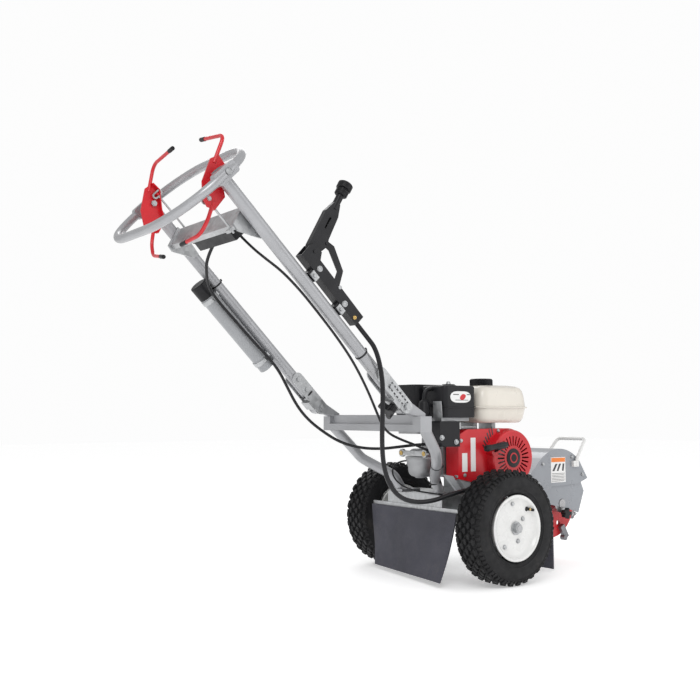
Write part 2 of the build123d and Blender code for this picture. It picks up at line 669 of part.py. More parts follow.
RECOIL_Y = -185.0
PULL = Vector(-0.2, -0.85, 0.49).normalized()  # the way the starter rope is pulled
ROPE_FROM = Vector(CRANK_X - 78, SHROUD_Y0 - 26, CRANK_Z + 22)
with BuildPart() as recoil_cover:
    with BuildSketch(across(CRANK_X, SHROUD_Y0, CRANK_Z)):
        Circle(SHROUD_R - 2)
    extrude(amount=RECOIL_Y - SHROUD_Y0, taper=8)
    fillet(recoil_cover.faces().sort_by(Axis.Y)[0].edges(), 5)
    with BuildSketch(across(CRANK_X, SHROUD_Y0 + 1, CRANK_Z)):
        Circle(SHROUD_R - 10)
    extrude(amount=RECOIL_Y - SHROUD_Y0 + 2, mode=Mode.SUBTRACT)
    with BuildSketch(across(CRANK_X, RECOIL_Y - 1, CRANK_Z)):
        with PolarLocations(52, 28):
            SlotOverall(30, 5)
    extrude(amount=10, mode=Mode.SUBTRACT)
    with BuildSketch(across(CRANK_X - 78, SHROUD_Y0, CRANK_Z + 22)):
        Circle(15)
    extrude(amount=-26)
    with BuildSketch(Plane(origin=ROPE_FROM, z_dir=PULL)):
        Circle(3.5)
    extrude(amount=40, both=True, mode=Mode.SUBTRACT)
save(recoil_cover, "recoil_cover")

with BuildPart() as crankshaft:
    with BuildSketch(across(CRANK_X, -156, CRANK_Z)):
        Circle(CRANK_R)
    extrude(amount=156 + BELT_Y + 16)
save(crankshaft, "crankshaft")

with BuildPart() as flywheel_fan:
    with BuildSketch(across(CRANK_X, -134, CRANK_Z)):
        Circle(78)
        Circle(CRANK_R, mode=Mode.SUBTRACT)
    extrude(amount=22)
    with BuildSketch(across(CRANK_X, -154, CRANK_Z)):
        with PolarLocations(60, 20):
            Rectangle(30, 3)
    extrude(amount=20.2)
save(flywheel_fan, "flywheel_fan")

TANK_X0, TANK_X1 = 219.0, 411.0
TANK_Y0, TANK_Y1 = -175.0, 10.0
TANK_Z0, TANK_Z1 = 463.0, 573.0
SEAM_Z = 510.0
CAP_X, CAP_Y, CAP_R = 289.0, -100.0, 36.0
TANK_LONG, TANK_WIDE = TANK_X1 - TANK_X0, TANK_Y1 - TANK_Y0
tank_middle = ((TANK_X0 + TANK_X1) / 2, (TANK_Y0 + TANK_Y1) / 2)
TANK_WALL = 3.0
with BuildPart() as fuel_tank:
    for inset, mode in ((0, Mode.ADD), (TANK_WALL, Mode.SUBTRACT)):
        with BuildSketch(Plane.XY.offset(SEAM_Z)):
            with Locations(tank_middle):
                RectangleRounded(TANK_LONG - 2 * inset, TANK_WIDE - 2 * inset, 30 - inset)
        extrude(amount=TANK_Z1 - SEAM_Z - inset, taper=9, mode=mode)
        with BuildSketch(Plane.XY.offset(SEAM_Z)):
            with Locations(tank_middle):
                RectangleRounded(TANK_LONG - 2 * inset, TANK_WIDE - 2 * inset, 30 - inset)
        extrude(amount=TANK_Z0 - SEAM_Z + inset, taper=9, mode=mode)
    with BuildSketch(Plane.XY.offset(SEAM_Z - 2.5)):
        with Locations(tank_middle):
            RectangleRounded(TANK_LONG + 8, TANK_WIDE + 8, 34)
            RectangleRounded(TANK_LONG - 2, TANK_WIDE - 2, 29, mode=Mode.SUBTRACT)
    extrude(amount=4)
    with BuildSketch(Plane.XY.offset(TANK_Z1 - 4)):
        with Locations((CAP_X, CAP_Y)):
            Circle(26)
    extrude(amount=12)
    with BuildSketch(Plane.XY.offset(TANK_Z1 - 12)):
        with Locations((CAP_X, CAP_Y)):
            Circle(22)
    extrude(amount=30, mode=Mode.SUBTRACT)
save(fuel_tank, "fuel_tank")

with BuildPart() as fuel_cap:
    with BuildSketch(Plane.XY.offset(TANK_Z1 + 1)):
        with Locations((CAP_X, CAP_Y)):
            Circle(CAP_R)
            with PolarLocations(CAP_R, 16):
                Circle(2.5, mode=Mode.SUBTRACT)
    extrude(amount=27)
    with BuildSketch(Plane.XY.offset(TANK_Z1)):
        with Locations((CAP_X, CAP_Y)):
            Circle(26.4)
    extrude(amount=8.4, mode=Mode.SUBTRACT)
save(fuel_cap, "fuel_cap")

CLEANER_X0, CLEANER_X1 = 73.0, 202.0
CLEANER_Y0, CLEANER_Y1 = -170.0, -62.0
CLEANER_Z0, CLEANER_Z1 = 480.0, 575.0
cleaner_middle = ((CLEANER_X0 + CLEANER_X1) / 2, (CLEANER_Y0 + CLEANER_Y1) / 2)
with BuildPart() as air_cleaner:
    for inset, mode in ((0, Mode.ADD), (3, Mode.SUBTRACT)):
        with BuildSketch(Plane.XY.offset(CLEANER_Z0)):
            with Locations(cleaner_middle):
                RectangleRounded(
                    CLEANER_X1 - CLEANER_X0 - 2 * inset, CLEANER_Y1 - CLEANER_Y0 - 2 * inset, 16 - inset,
                )
        extrude(amount=CLEANER_Z1 - CLEANER_Z0 - inset, mode=mode)
    fillet(air_cleaner.faces().sort_by(Axis.Z)[-1].edges(), 7)
    with BuildSketch(Plane.XY.offset(CLEANER_Z1 - 1)):
        with Locations(cleaner_middle):
            Circle(19)
    extrude(amount=6)
save(air_cleaner, "air_cleaner")

with BuildPart() as carburettor:
    with Locations((109, -115, 440)):
        Box(50, 20, 56)
    with Locations((cleaner_middle[0] - 10, -115, 474.8)):
        Box(110, 84, 10)
    with Locations((109, -115, 469)):
        Box(40, 20, 6)
save(carburettor, "carburettor")

with BuildPart() as intake_cover:
    with BuildSketch(side_plane(-125.2)):
        with BuildLine():
            Polyline((55, 410), (70, 395), (133, 395), (133, 469.6), (55, 469.6), close=True)
        make_face()
        fillet(vertices().filter_by(lambda v: v.X < 100), 5)
    extrude(amount=45)
save(intake_cover, "intake_cover")

MUFFLER_X, MUFFLER_Y, MUFFLER_Z0 = 134.0, -2.5, 431.0
with BuildPart() as muffler:
    with BuildSketch(Plane.XY.offset(MUFFLER_Z0)):
        with Locations((MUFFLER_X, MUFFLER_Y)):
            RectangleRounded(144, 95, 22)
    extrude(amount=140)
    fillet(muffler.faces().sort_by(Axis.Z)[-1].edges(), 12)
    with BuildSketch(Plane.XY.offset(418)):
        with Locations((157, -20)):
            Circle(15)
    extrude(amount=14)
save(muffler, "muffler")

with BuildPart() as muffler_guard:
    for inset, mode in ((0, Mode.ADD), (1.5, Mode.SUBTRACT)):
        with BuildSketch(Plane.XY.offset(442)):
            with Locations((MUFFLER_X, MUFFLER_Y)):
                RectangleRounded(155 - 2 * inset, 106 - 2 * inset, 26 - inset)
        extrude(amount=138 - inset, mode=mode)
    with BuildSketch(Plane.XY.offset(570)):
        with Locations((MUFFLER_X, MUFFLER_Y)):
            with GridLocations(15, 44, 7, 2):
                SlotOverall(32, 7, rotation=90)
    extrude(amount=20, mode=Mode.SUBTRACT)
    for sign in (1, -1):
        with Locations((MUFFLER_X, MUFFLER_Y + sign * 49.5, 450)):
            Box(20, 4, 10)
save(muffler_guard, "muffler_guard")

with BuildPart() as starter_grip:
    with BuildSketch(Plane(origin=(205, -203, 388), z_dir=(1, 0, 0.12))):
        Ellipse(9, 11)
    extrude(amount=92)
    fillet(starter_grip.edges(), 3)
    with BuildSketch(Plane(origin=ROPE_FROM + PULL * 7, z_dir=PULL)):
        Circle(6.5)
    extrude(amount=14)
save(starter_grip, "starter_grip")

with BuildPart() as starter_rope:
    with BuildSketch(Plane(origin=ROPE_FROM - PULL * 12, z_dir=PULL)):
        Circle(2)
    extrude(amount=19)
save(starter_rope, "starter_rope")

CHOKE_X, CHOKE_Y, CHOKE_Z = 150.0, -140.0, 451.0
with BuildPart() as choke_lever:
    with BuildSketch(Plane.XY.offset(CHOKE_Z)):
        with Locations((CHOKE_X, CHOKE_Y)):
            SlotCenterPoint((24, -11), (48, -22), 12)
            Circle(8)
    extrude(amount=2.5)
    with BuildSketch(Plane.XY.offset(CHOKE_Z)):
        with Locations((CHOKE_X, CHOKE_Y)):
            Circle(3)
    extrude(amount=18.5)
save(choke_lever, "choke_lever")

# ---- Belt drive ------------------------------------------------------------
BELT_HALF, GROOVE_HALF, PULLEY_HALF = 6.0, 7.0, 12.0


def grooved_pulley(x, z, radius, bore):
    """A pulley on the belt's line, with a groove a little wider and deeper than the belt."""
    with BuildPart() as pulley:
        with BuildSketch(across(x, BELT_Y - PULLEY_HALF, z)):
            Circle(radius)
        extrude(amount=2 * PULLEY_HALF)
        with BuildSketch(across(x, BELT_Y - GROOVE_HALF, z)):
            Circle(radius + 1)
            Circle(radius - 12, mode=Mode.SUBTRACT)
        extrude(amount=2 * GROOVE_HALF, mode=Mode.SUBTRACT)
        with BuildSketch(across(x, BELT_Y - PULLEY_HALF, z)):
            Circle(bore)
        extrude(amount=2 * PULLEY_HALF, mode=Mode.SUBTRACT)
    return pulley


save(grooved_pulley(CRANK_X, CRANK_Z, CLUTCH_R, CRANK_R), "clutch_pulley")
save(grooved_pulley(CUTTER_X, CUTTER_Z, PULLEY_R, CUTTER_SHAFT_R), "cutter_pulley")

with BuildPart() as drive_belt:
    for depth, mode in ((2, Mode.ADD), (11.5, Mode.SUBTRACT)):
        with BuildSketch(side_plane(BELT_Y + BELT_HALF)):
            with Locations((CRANK_X, CRANK_Z)):
                Circle(CLUTCH_R - depth)
            with Locations((CUTTER_X, CUTTER_Z)):
                Circle(PULLEY_R - depth)
            make_hull()
        extrude(amount=2 * BELT_HALF, mode=mode)
save(drive_belt, "drive_belt")

GUARD_Y0, GUARD_Y1 = 101.0, 134.0
with BuildPart() as belt_guard:
    with BuildSketch(side_plane(GUARD_Y1)) as guard_outline:
        with BuildLine():
            Polyline(
                (262, 300), (262, 400), (300, 432), (385, 425), (560, 340), (707, 355), (768, 368),
                (826, 366),
                (822, 290), (775, 128), (640, 122), (470, 212), (330, 285), close=True,
            )
        make_face()
    extrude(amount=GUARD_Y1 - GUARD_Y0)
    with BuildSketch(side_plane(GUARD_Y1 - 3)):
        offset(guard_outline.sketch, -3)
    extrude(amount=GUARD_Y1, mode=Mode.SUBTRACT)
save(belt_guard, "belt_guard")

# ---- Cutter ----------------------------------------------------------------
DISC_R, DISC_HALF, TOOTH_R = 120.0, 5.0, 145.0
TOOTH_COUNT = 9
PLATE_IN, PLATE_OUT = 60.0, 65.0
with BuildPart() as cutter_shaft:
    with BuildSketch(across(CUTTER_X, -62, CUTTER_Z)):
        Circle(CUTTER_SHAFT_R)
    extrude(amount=62 + BELT_Y + 14)
save(cutter_shaft, "cutter_shaft")

with BuildPart() as cutter_disc:
    with BuildSketch(across(CUTTER_X, -DISC_HALF, CUTTER_Z)):
        Circle(DISC_R)
        Circle(CUTTER_SHAFT_R, mode=Mode.SUBTRACT)
        with PolarLocations(82, 6):
            Circle(9, mode=Mode.SUBTRACT)
    extrude(amount=2 * DISC_HALF)
    with BuildSketch(across(CUTTER_X, -14, CUTTER_Z)):
        Circle(32)
        Circle(CUTTER_SHAFT_R, mode=Mode.SUBTRACT)
    extrude(amount=28)
save(cutter_disc, "cutter_disc")

with BuildPart() as cutter_teeth:
    for tooth in range(TOOTH_COUNT):
        side = 1 if tooth % 2 else -1
        angle = 360 * tooth / TOOTH_COUNT
        holder = across(CUTTER_X, side * (DISC_HALF + 7), CUTTER_Z)
        with BuildSketch(holder.offset(-7)):
            with PolarLocations((DISC_R + TOOTH_R) / 2 - 16, 1, angle):
                Rectangle(TOOTH_R - DISC_R + 22, 20)
        extrude(amount=14)
        with BuildSketch(holder.offset(-9)):
            with PolarLocations(TOOTH_R - 10, 1, angle + 4):
                Circle(9)
        extrude(amount=18)
    with BuildSketch(across(CUTTER_X, -DISC_HALF, CUTTER_Z)):
        Circle(DISC_R)
    extrude(amount=2 * DISC_HALF, mode=Mode.SUBTRACT)
save(cutter_teeth, "cutter_teeth")

with BuildPart() as shaft_bearings:
    for _, sign in SIDES:
        with BuildSketch(across(CUTTER_X, sign * 56, CUTTER_Z)):
            Circle(30)
            Circle(CUTTER_SHAFT_R + RUN, mode=Mode.SUBTRACT)
        extrude(amount=-sign * 20)
save(shaft_bearings, "shaft_bearings")

with BuildPart() as cutter_housing:
    with BuildSketch(side_plane(PLATE_OUT)) as housing_outline:
        with BuildLine():
            Polyline(
                (544, 297), (500, 262), (500, 245), (562, 245), (562, 170), (600, 170), (640, 249),
                (775, 254),
            )
            Line((775, 254), (824, 271))
            Line((824, 271), (783, 332))
            ThreePointArc((783, 332), (690, 374), (595, 344))
            Line((595, 344), (544, 297))
        make_face()
    extrude(amount=2 * PLATE_OUT)
    with BuildSketch(side_plane(PLATE_IN)):
        with BuildLine():
            Polyline((549, 294), (490, 247), (490, 100), (900, 100), (900, 262), (818, 271), (779, 328))
            ThreePointArc((779, 328), (690, 369), (598, 340))
            Line((598, 340), (549, 294))
        make_face()
    extrude(amount=2 * PLATE_IN, mode=Mode.SUBTRACT)
save(cutter_housing, "cutter_housing")

with BuildPart() as front_guard:
    for near in (-PLATE_IN + 4, PLATE_IN):
        with BuildSketch(side_plane(near)):
            with BuildLine():
                Polyline(
                    (566, 262), (790, 268), (809, 228), (779, 155), (724, 172), (640, 190), (566, 190),
                    close=True,
                )
            make_face()
            with Locations((CUTTER_X, CUTTER_Z)):
                Circle(CUTTER_SHAFT_R + 1, mode=Mode.SUBTRACT)
        extrude(amount=4)
    with BuildSketch(side_plane(PLATE_IN)):
        with BuildLine():
            Polyline((787, 268), (790, 268), (809, 228), (806, 227), close=True)
        make_face()
    extrude(amount=20)
save(front_guard, "front_guard")

HANDLE_ROD_R = 6.0
lift_route = [
    (756, -71.5, 316), (768, -71.5, 345), (820, -62, 405),
    (820, 62, 405), (768, 71.5, 345), (756, 71.5, 316),
]
lift_rod = tube_along(lift_route, HANDLE_ROD_R, radii=[20, 16, 16, 20])
with BuildPart() as lift_handle:
    add(lift_rod)
    for _, sign in SIDES:
        with Locations((757, sign * 70, 322)):
            Box(26, 9.8, 20)
save(lift_handle, "lift_handle")

# ---- Rubber flaps ----------------------------------------------------------
FLAP_HALF, FLAP_THICK = 200.0, 5.0
REAR_FLAP_RIGHT = [(87.5, 205), (74, 150), (50, 80), (21, 16)]
REAR_FLAP_LEFT = [(87.5, 205), (92, 150), (99, 80), (99, 14)]
with BuildPart() as rear_flap:
    for y, edge in ((-FLAP_HALF, REAR_FLAP_RIGHT), (FLAP_HALF, REAR_FLAP_LEFT)):
        with BuildSketch(side_plane(y)):
            with BuildLine():
                Polyline(*edge, *[(x + FLAP_THICK, z) for x, z in reversed(edge)], close=True)
            make_face()
    loft(ruled=True)
save(rear_flap, "rear_flap")

with BuildPart() as front_flap:
    with Locations((FLAP_BAR_X + 5, 0, 91)):
        Box(4.8, 360, 170)
save(front_flap, "front_flap")

# ---- Cables ----------------------------------------------------------------
BRAKE_CABLE_R, THROTTLE_R, HARNESS_R, WIRE_R = 6.5, 3.5, 4.5, 2.5
brake_route = [
    on_handle(CHANNEL_FOOT - 1, 47, BRAKE_Y), on_handle(228, 44, -214), (-226, -234, 664),
    (-213, -245, 583), (-212, -243, 501), (-209, -235, 421), (-199, -228, 354), (-175, -224, 299),
    (-133, -219, 262), (-73, -214, 247), (-10, -208, 247), (50, -202, 257), (111, -197, 268),
    (170, -190, 271), (220, -178, 262), (252, -170, 240),
]
throttle_route = [
    on_handle(639, -10, -112), on_handle(606, -22, -142), on_handle(566, -31, -180),
    on_handle(520, -30, -204), on_handle(450, -26, -210), on_handle(370, -27, -213),
    on_handle(280, -29, -213), on_handle(200, -36, -212), on_handle(120, -53, -210),
    on_handle(50, -72, -205), (-181, -199, 461), (-150, -190, 437), (-98, -176, 420),
    (-31, -160, 403), (18, -150, 388), (52, -146, 379), (76, -146, 391),
]
harness_route = [
    on_handle(638, -20, 30), on_handle(618, -42, 62), on_handle(580, -52, 102),
    on_handle(535, -52, 150), on_handle(480, -46, 174), on_handle(400, -42, 177),
    on_handle(320, -41, 176), on_handle(250, -36, 176), on_handle(190, -34, 184),
    on_handle(130, -42, 196), on_handle(66, -58, 195), on_handle(8, -62, 189),
    (-122, 172, 436), (-76, 148, 404), (-30, 108, 387), (12, 58, 384), (48, 4, 392), (84, -42, 399),
    (126.8, -62, 401),
]
wire_route = [
    (72.6, -6, 350), (44, 14, 349), (24, 20, 318), (22, -8, 288), (34, -52, 268), (66, -94, 259),
    (108, -120, 253),
]
CABLES = {
    "brake_cable": [(brake_route, BRAKE_CABLE_R)],
    "throttle_cable": [(throttle_route, THROTTLE_R)],
    "control_cable": [(harness_route, HARNESS_R), (wire_route, WIRE_R)],
}
for name, routes in CABLES.items():
    strands = [tube_along(route, radius) for route, radius in routes]
    for strand, (route, radius) in zip(strands, routes):
        report_cable(name, route, radius, strand)
    with BuildPart() as cable:
        add(strands)
    save(cable, name)
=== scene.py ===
import json
from math import atan2, cos, pi, radians, sin

import bmesh
import bpy
from mathutils import Matrix, Vector


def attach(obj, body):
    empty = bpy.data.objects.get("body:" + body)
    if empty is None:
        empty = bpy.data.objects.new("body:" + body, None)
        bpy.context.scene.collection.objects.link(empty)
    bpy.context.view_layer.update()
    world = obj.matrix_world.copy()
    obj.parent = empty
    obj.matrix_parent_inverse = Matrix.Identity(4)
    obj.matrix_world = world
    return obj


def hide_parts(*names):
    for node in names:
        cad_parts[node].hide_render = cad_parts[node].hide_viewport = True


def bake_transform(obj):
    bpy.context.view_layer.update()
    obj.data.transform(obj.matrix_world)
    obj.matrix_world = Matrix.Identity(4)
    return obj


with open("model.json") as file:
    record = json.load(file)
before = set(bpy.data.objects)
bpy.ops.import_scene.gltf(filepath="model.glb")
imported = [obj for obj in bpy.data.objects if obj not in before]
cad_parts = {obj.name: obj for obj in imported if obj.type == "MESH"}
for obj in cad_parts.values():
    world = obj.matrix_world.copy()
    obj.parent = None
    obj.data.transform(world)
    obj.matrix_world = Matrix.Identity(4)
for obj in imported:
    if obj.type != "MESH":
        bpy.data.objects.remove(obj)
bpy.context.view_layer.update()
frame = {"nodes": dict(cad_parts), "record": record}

# Lengths are written in millimetres and turned to metres by MM.
MM = 0.001

# ---- Places of the machine, as in the CAD part ------------------------------
TRACK = 526.0
AXLE = (223.0, 165.0)
CRANK = (340.0, 357.0)
HINGE = (-117.0, 511.0)
SLOPE = radians(44.6)
COS, SIN = cos(SLOPE), sin(SLOPE)
TUBE_Y, TUBE_R = 209.0, 17.5
RING_S = 806.0
ARM_S, ARM_T, ARM_SLOPE = 498.0, 73.0, radians(74.3)
SIDES = (("left", 1), ("right", -1))


def on_handle(s, t, y):
    """A point s along the handle tubes from the hinge, t above them, y to the left, in mm."""
    return (HINGE[0] - s * COS + t * SIN, y, HINGE[1] + s * SIN + t * COS)


def on_arm(along, off=0.0):
    """A place on the handle, given along the brake arm and off to its rear side, in mm."""
    c, s = cos(ARM_SLOPE), sin(ARM_SLOPE)
    return (ARM_S + along * c + off * s, ARM_T + along * s - off * c)


def metres(point):
    return Vector(point) * MM


def place(origin, x_dir, z_dir):
    """A placement in metres from an origin in mm, a local x direction and a local z direction."""
    z = Vector(z_dir).normalized()
    x = Vector(x_dir)
    x = (x - z * x.dot(z)).normalized()
    y = z.cross(x)
    rows = [[x[i], y[i], z[i], origin[i] * MM] for i in range(3)]
    return Matrix(rows + [[0, 0, 0, 1]])


def on_side(x, y, z):
    """Placement with local (x, y) along machine (x, z) and local z towards -Y, the right-hand side."""
    return place((x, y, z), (1, 0, 0), (0, -1, 0))


def on_floor(x, y, z):
    return place((x, y, z), (1, 0, 0), (0, 0, 1))


def beside_handle(s, t, y):
    """Placement with local (x, y) along handle (s, t) and local z towards +Y."""
    return place(on_handle(s, t, y), (-COS, 0, SIN), (0, 1, 0))


def up_handle(s, t, y):
    """Placement with local z up the handle tubes and local x square above them."""
    return place(on_handle(s, t, y), (SIN, 0, COS), (-COS, 0, SIN))


# Turns a placement over, so that its local z points the other way.
OVER = Matrix.Rotation(pi, 4, "X")


def outwards(at, sign):
    """A placement whose local z is +Y, turned over on the right-hand side so that it points outwards."""
    return at if sign > 0 else at @ OVER


def rectangle(x_low, y_low, x_high, y_high):
    return [(x_low, y_low), (x_high, y_low), (x_high, y_high), (x_low, y_high)]


# ---- Camera at the photograph's angle ---------------------------------------
camera_data = bpy.data.cameras.new("camera")
camera = bpy.data.objects.new("camera", camera_data)
bpy.context.scene.collection.objects.link(camera)
camera.location = (-1.7607, -2.2374, 0.4877)
YAW, PITCH = radians(53.03), radians(5.94)
sight = Vector((cos(PITCH) * cos(YAW), cos(PITCH) * sin(YAW), sin(PITCH)))
camera.rotation_euler = sight.to_track_quat("-Z", "Y").to_euler()
camera_data.sensor_width, camera_data.lens = 36.0, 48.2
camera_data.shift_x, camera_data.shift_y = -0.0266, -0.0464
camera_data.clip_end = 100.0
bpy.context.scene.camera = camera


# ---- Materials --------------------------------------------------------------
def nodes_of(mat):
    return mat.node_tree.nodes, mat.node_tree.links


def noise(mat, scale, detail=6.0, rough=0.6):
    """A noise texture in object space."""
    nodes, links = nodes_of(mat)
    where = nodes.new("ShaderNodeTexCoord")
    texture = nodes.new("ShaderNodeTexNoise")
    texture.inputs["Scale"].default_value = scale
    texture.inputs["Detail"].default_value = detail
    texture.inputs["Roughness"].default_value = rough
    links.new(where.outputs["Object"], texture.inputs["Vector"])
    return texture.outputs["Fac"]


def cells(mat, scale):
    """A texture of flat cells, each with a colour of its own."""
    nodes, links = nodes_of(mat)
    where = nodes.new("ShaderNodeTexCoord")
    texture = nodes.new("ShaderNodeTexVoronoi")
    texture.inputs["Scale"].default_value = scale
    links.new(where.outputs["Object"], texture.inputs["Vector"])
    return texture.outputs["Color"]


def ramp(mat, source, stops):
    """Colours or greys picked by a value; stops are (place, colour)."""
    nodes, links = nodes_of(mat)
    node = nodes.new("ShaderNodeValToRGB")
    bar = node.color_ramp
    while len(bar.elements) < len(stops):
        bar.elements.new(0.5)
    for element, (where, colour) in zip(bar.elements, stops):
        element.position = where
        element.color = (*colour, 1) if hasattr(colour, "__len__") else (colour, colour, colour, 1)
    links.new(source, node.inputs["Fac"])
    return node.outputs["Color"]


def blend_colours(mat, factor, below, above):
    nodes, links = nodes_of(mat)
    mix = nodes.new("ShaderNodeMix")
    mix.data_type = "RGBA"
    links.new(factor, mix.inputs["Factor"])
    for socket, value in ((mix.inputs[6], below), (mix.inputs[7], above)):
        if hasattr(value, "__len__"):
            socket.default_value = (*value, 1)
        else:
            links.new(value, socket)
    return mix.outputs[2]


def bump(mat, height, strength, distance, after=None):
    nodes, links = nodes_of(mat)
    node = nodes.new("ShaderNodeBump")
    node.inputs["Strength"].default_value = strength
    node.inputs["Distance"].default_value = distance
    links.new(height, node.inputs["Height"])
    if after:
        links.new(after, node.inputs["Normal"])
    return node.outputs["Normal"]


def finish_with(name, colour, rough, metal=0.0, vary=0.12, grain=9.0, rough_spread=0.12, bumps=(),
                coat=0.0, scuff=None, dirt=None):
    """A painted, plated, moulded or cast finish.

    vary is how much the colour wanders, bumps are (scale, strength, distance), scuff is (colour,
    share) of worn spots and dirt is (colour, share) of low broad stains."""
    mat = bpy.data.materials.new(name)
    mat.use_nodes = True
    nodes, links = nodes_of(mat)
    shader = nodes["Principled BSDF"]
    shader.inputs["Metallic"].default_value = metal
    shader.inputs["Coat Weight"].default_value = coat
    shader.inputs["Coat Roughness"].default_value = 0.12
    darker = [c * (1 - vary) for c in colour]
    lighter = [min(1, c * (1 + vary)) for c in colour]
    tint = ramp(mat, noise(mat, grain, 5.0, 0.55), [(0.3, darker), (0.5, colour), (0.72, lighter)])
    if dirt:
        stain = ramp(mat, noise(mat, grain * 0.45, 8.0, 0.7), [(0.62 - dirt[1], 0.0), (0.78, 1.0)])
        tint = blend_colours(mat, stain, tint, dirt[0])
    if scuff:
        worn = ramp(mat, noise(mat, 75.0, 10.0, 0.75), [(0.66 - scuff[1], 0.0), (0.70 - scuff[1], 1.0)])
        tint = blend_colours(mat, worn, tint, scuff[0])
    links.new(tint, shader.inputs["Base Color"])
    low, high = max(0.03, rough - rough_spread), min(1.0, rough + rough_spread)
    polish = ramp(mat, noise(mat, grain * 3.0, 6.0, 0.65), [(0.3, low), (0.7, high)])
    links.new(polish, shader.inputs["Roughness"])
    normal = None
    for scale, strength, distance in bumps:
        normal = bump(mat, noise(mat, scale, 4.0, 0.6), strength, distance, normal)
    if normal:
        links.new(normal, shader.inputs["Normal"])
    return mat


def spangled(name, colour, rough):
    """Zinc plate or galvanising, with crystals of slightly different grey."""
    mat = bpy.data.materials.new(name)
    mat.use_nodes = True
    nodes, links = nodes_of(mat)
    shader = nodes["Principled BSDF"]
    shader.inputs["Metallic"].default_value = 0.85
    grey = nodes.new("ShaderNodeSeparateColor")
    links.new(cells(mat, 85.0), grey.inputs["Color"])
    crystal = grey.outputs["Red"]
    darkest = [c * 0.78 for c in colour]
    lightest = [min(1, c * 1.14) for c in colour]
    tint = ramp(mat, crystal, [(0.0, darkest), (1.0, lightest)])
    cloud = ramp(mat, noise(mat, 14.0, 8.0, 0.7), [(0.35, 0.0), (0.75, 0.55)])
    tint = blend_colours(mat, cloud, tint, [c * 0.62 for c in colour])
    links.new(tint, shader.inputs["Base Color"])
    links.new(ramp(mat, crystal, [(0.0, rough - 0.08), (1.0, rough + 0.12)]), shader.inputs["Roughness"])
    fine = bump(mat, noise(mat, 420.0, 3.0), 0.12, 0.0004)
    links.new(bump(mat, noise(mat, 40.0, 5.0), 0.12, 0.002, fine), shader.inputs["Normal"])
    return mat


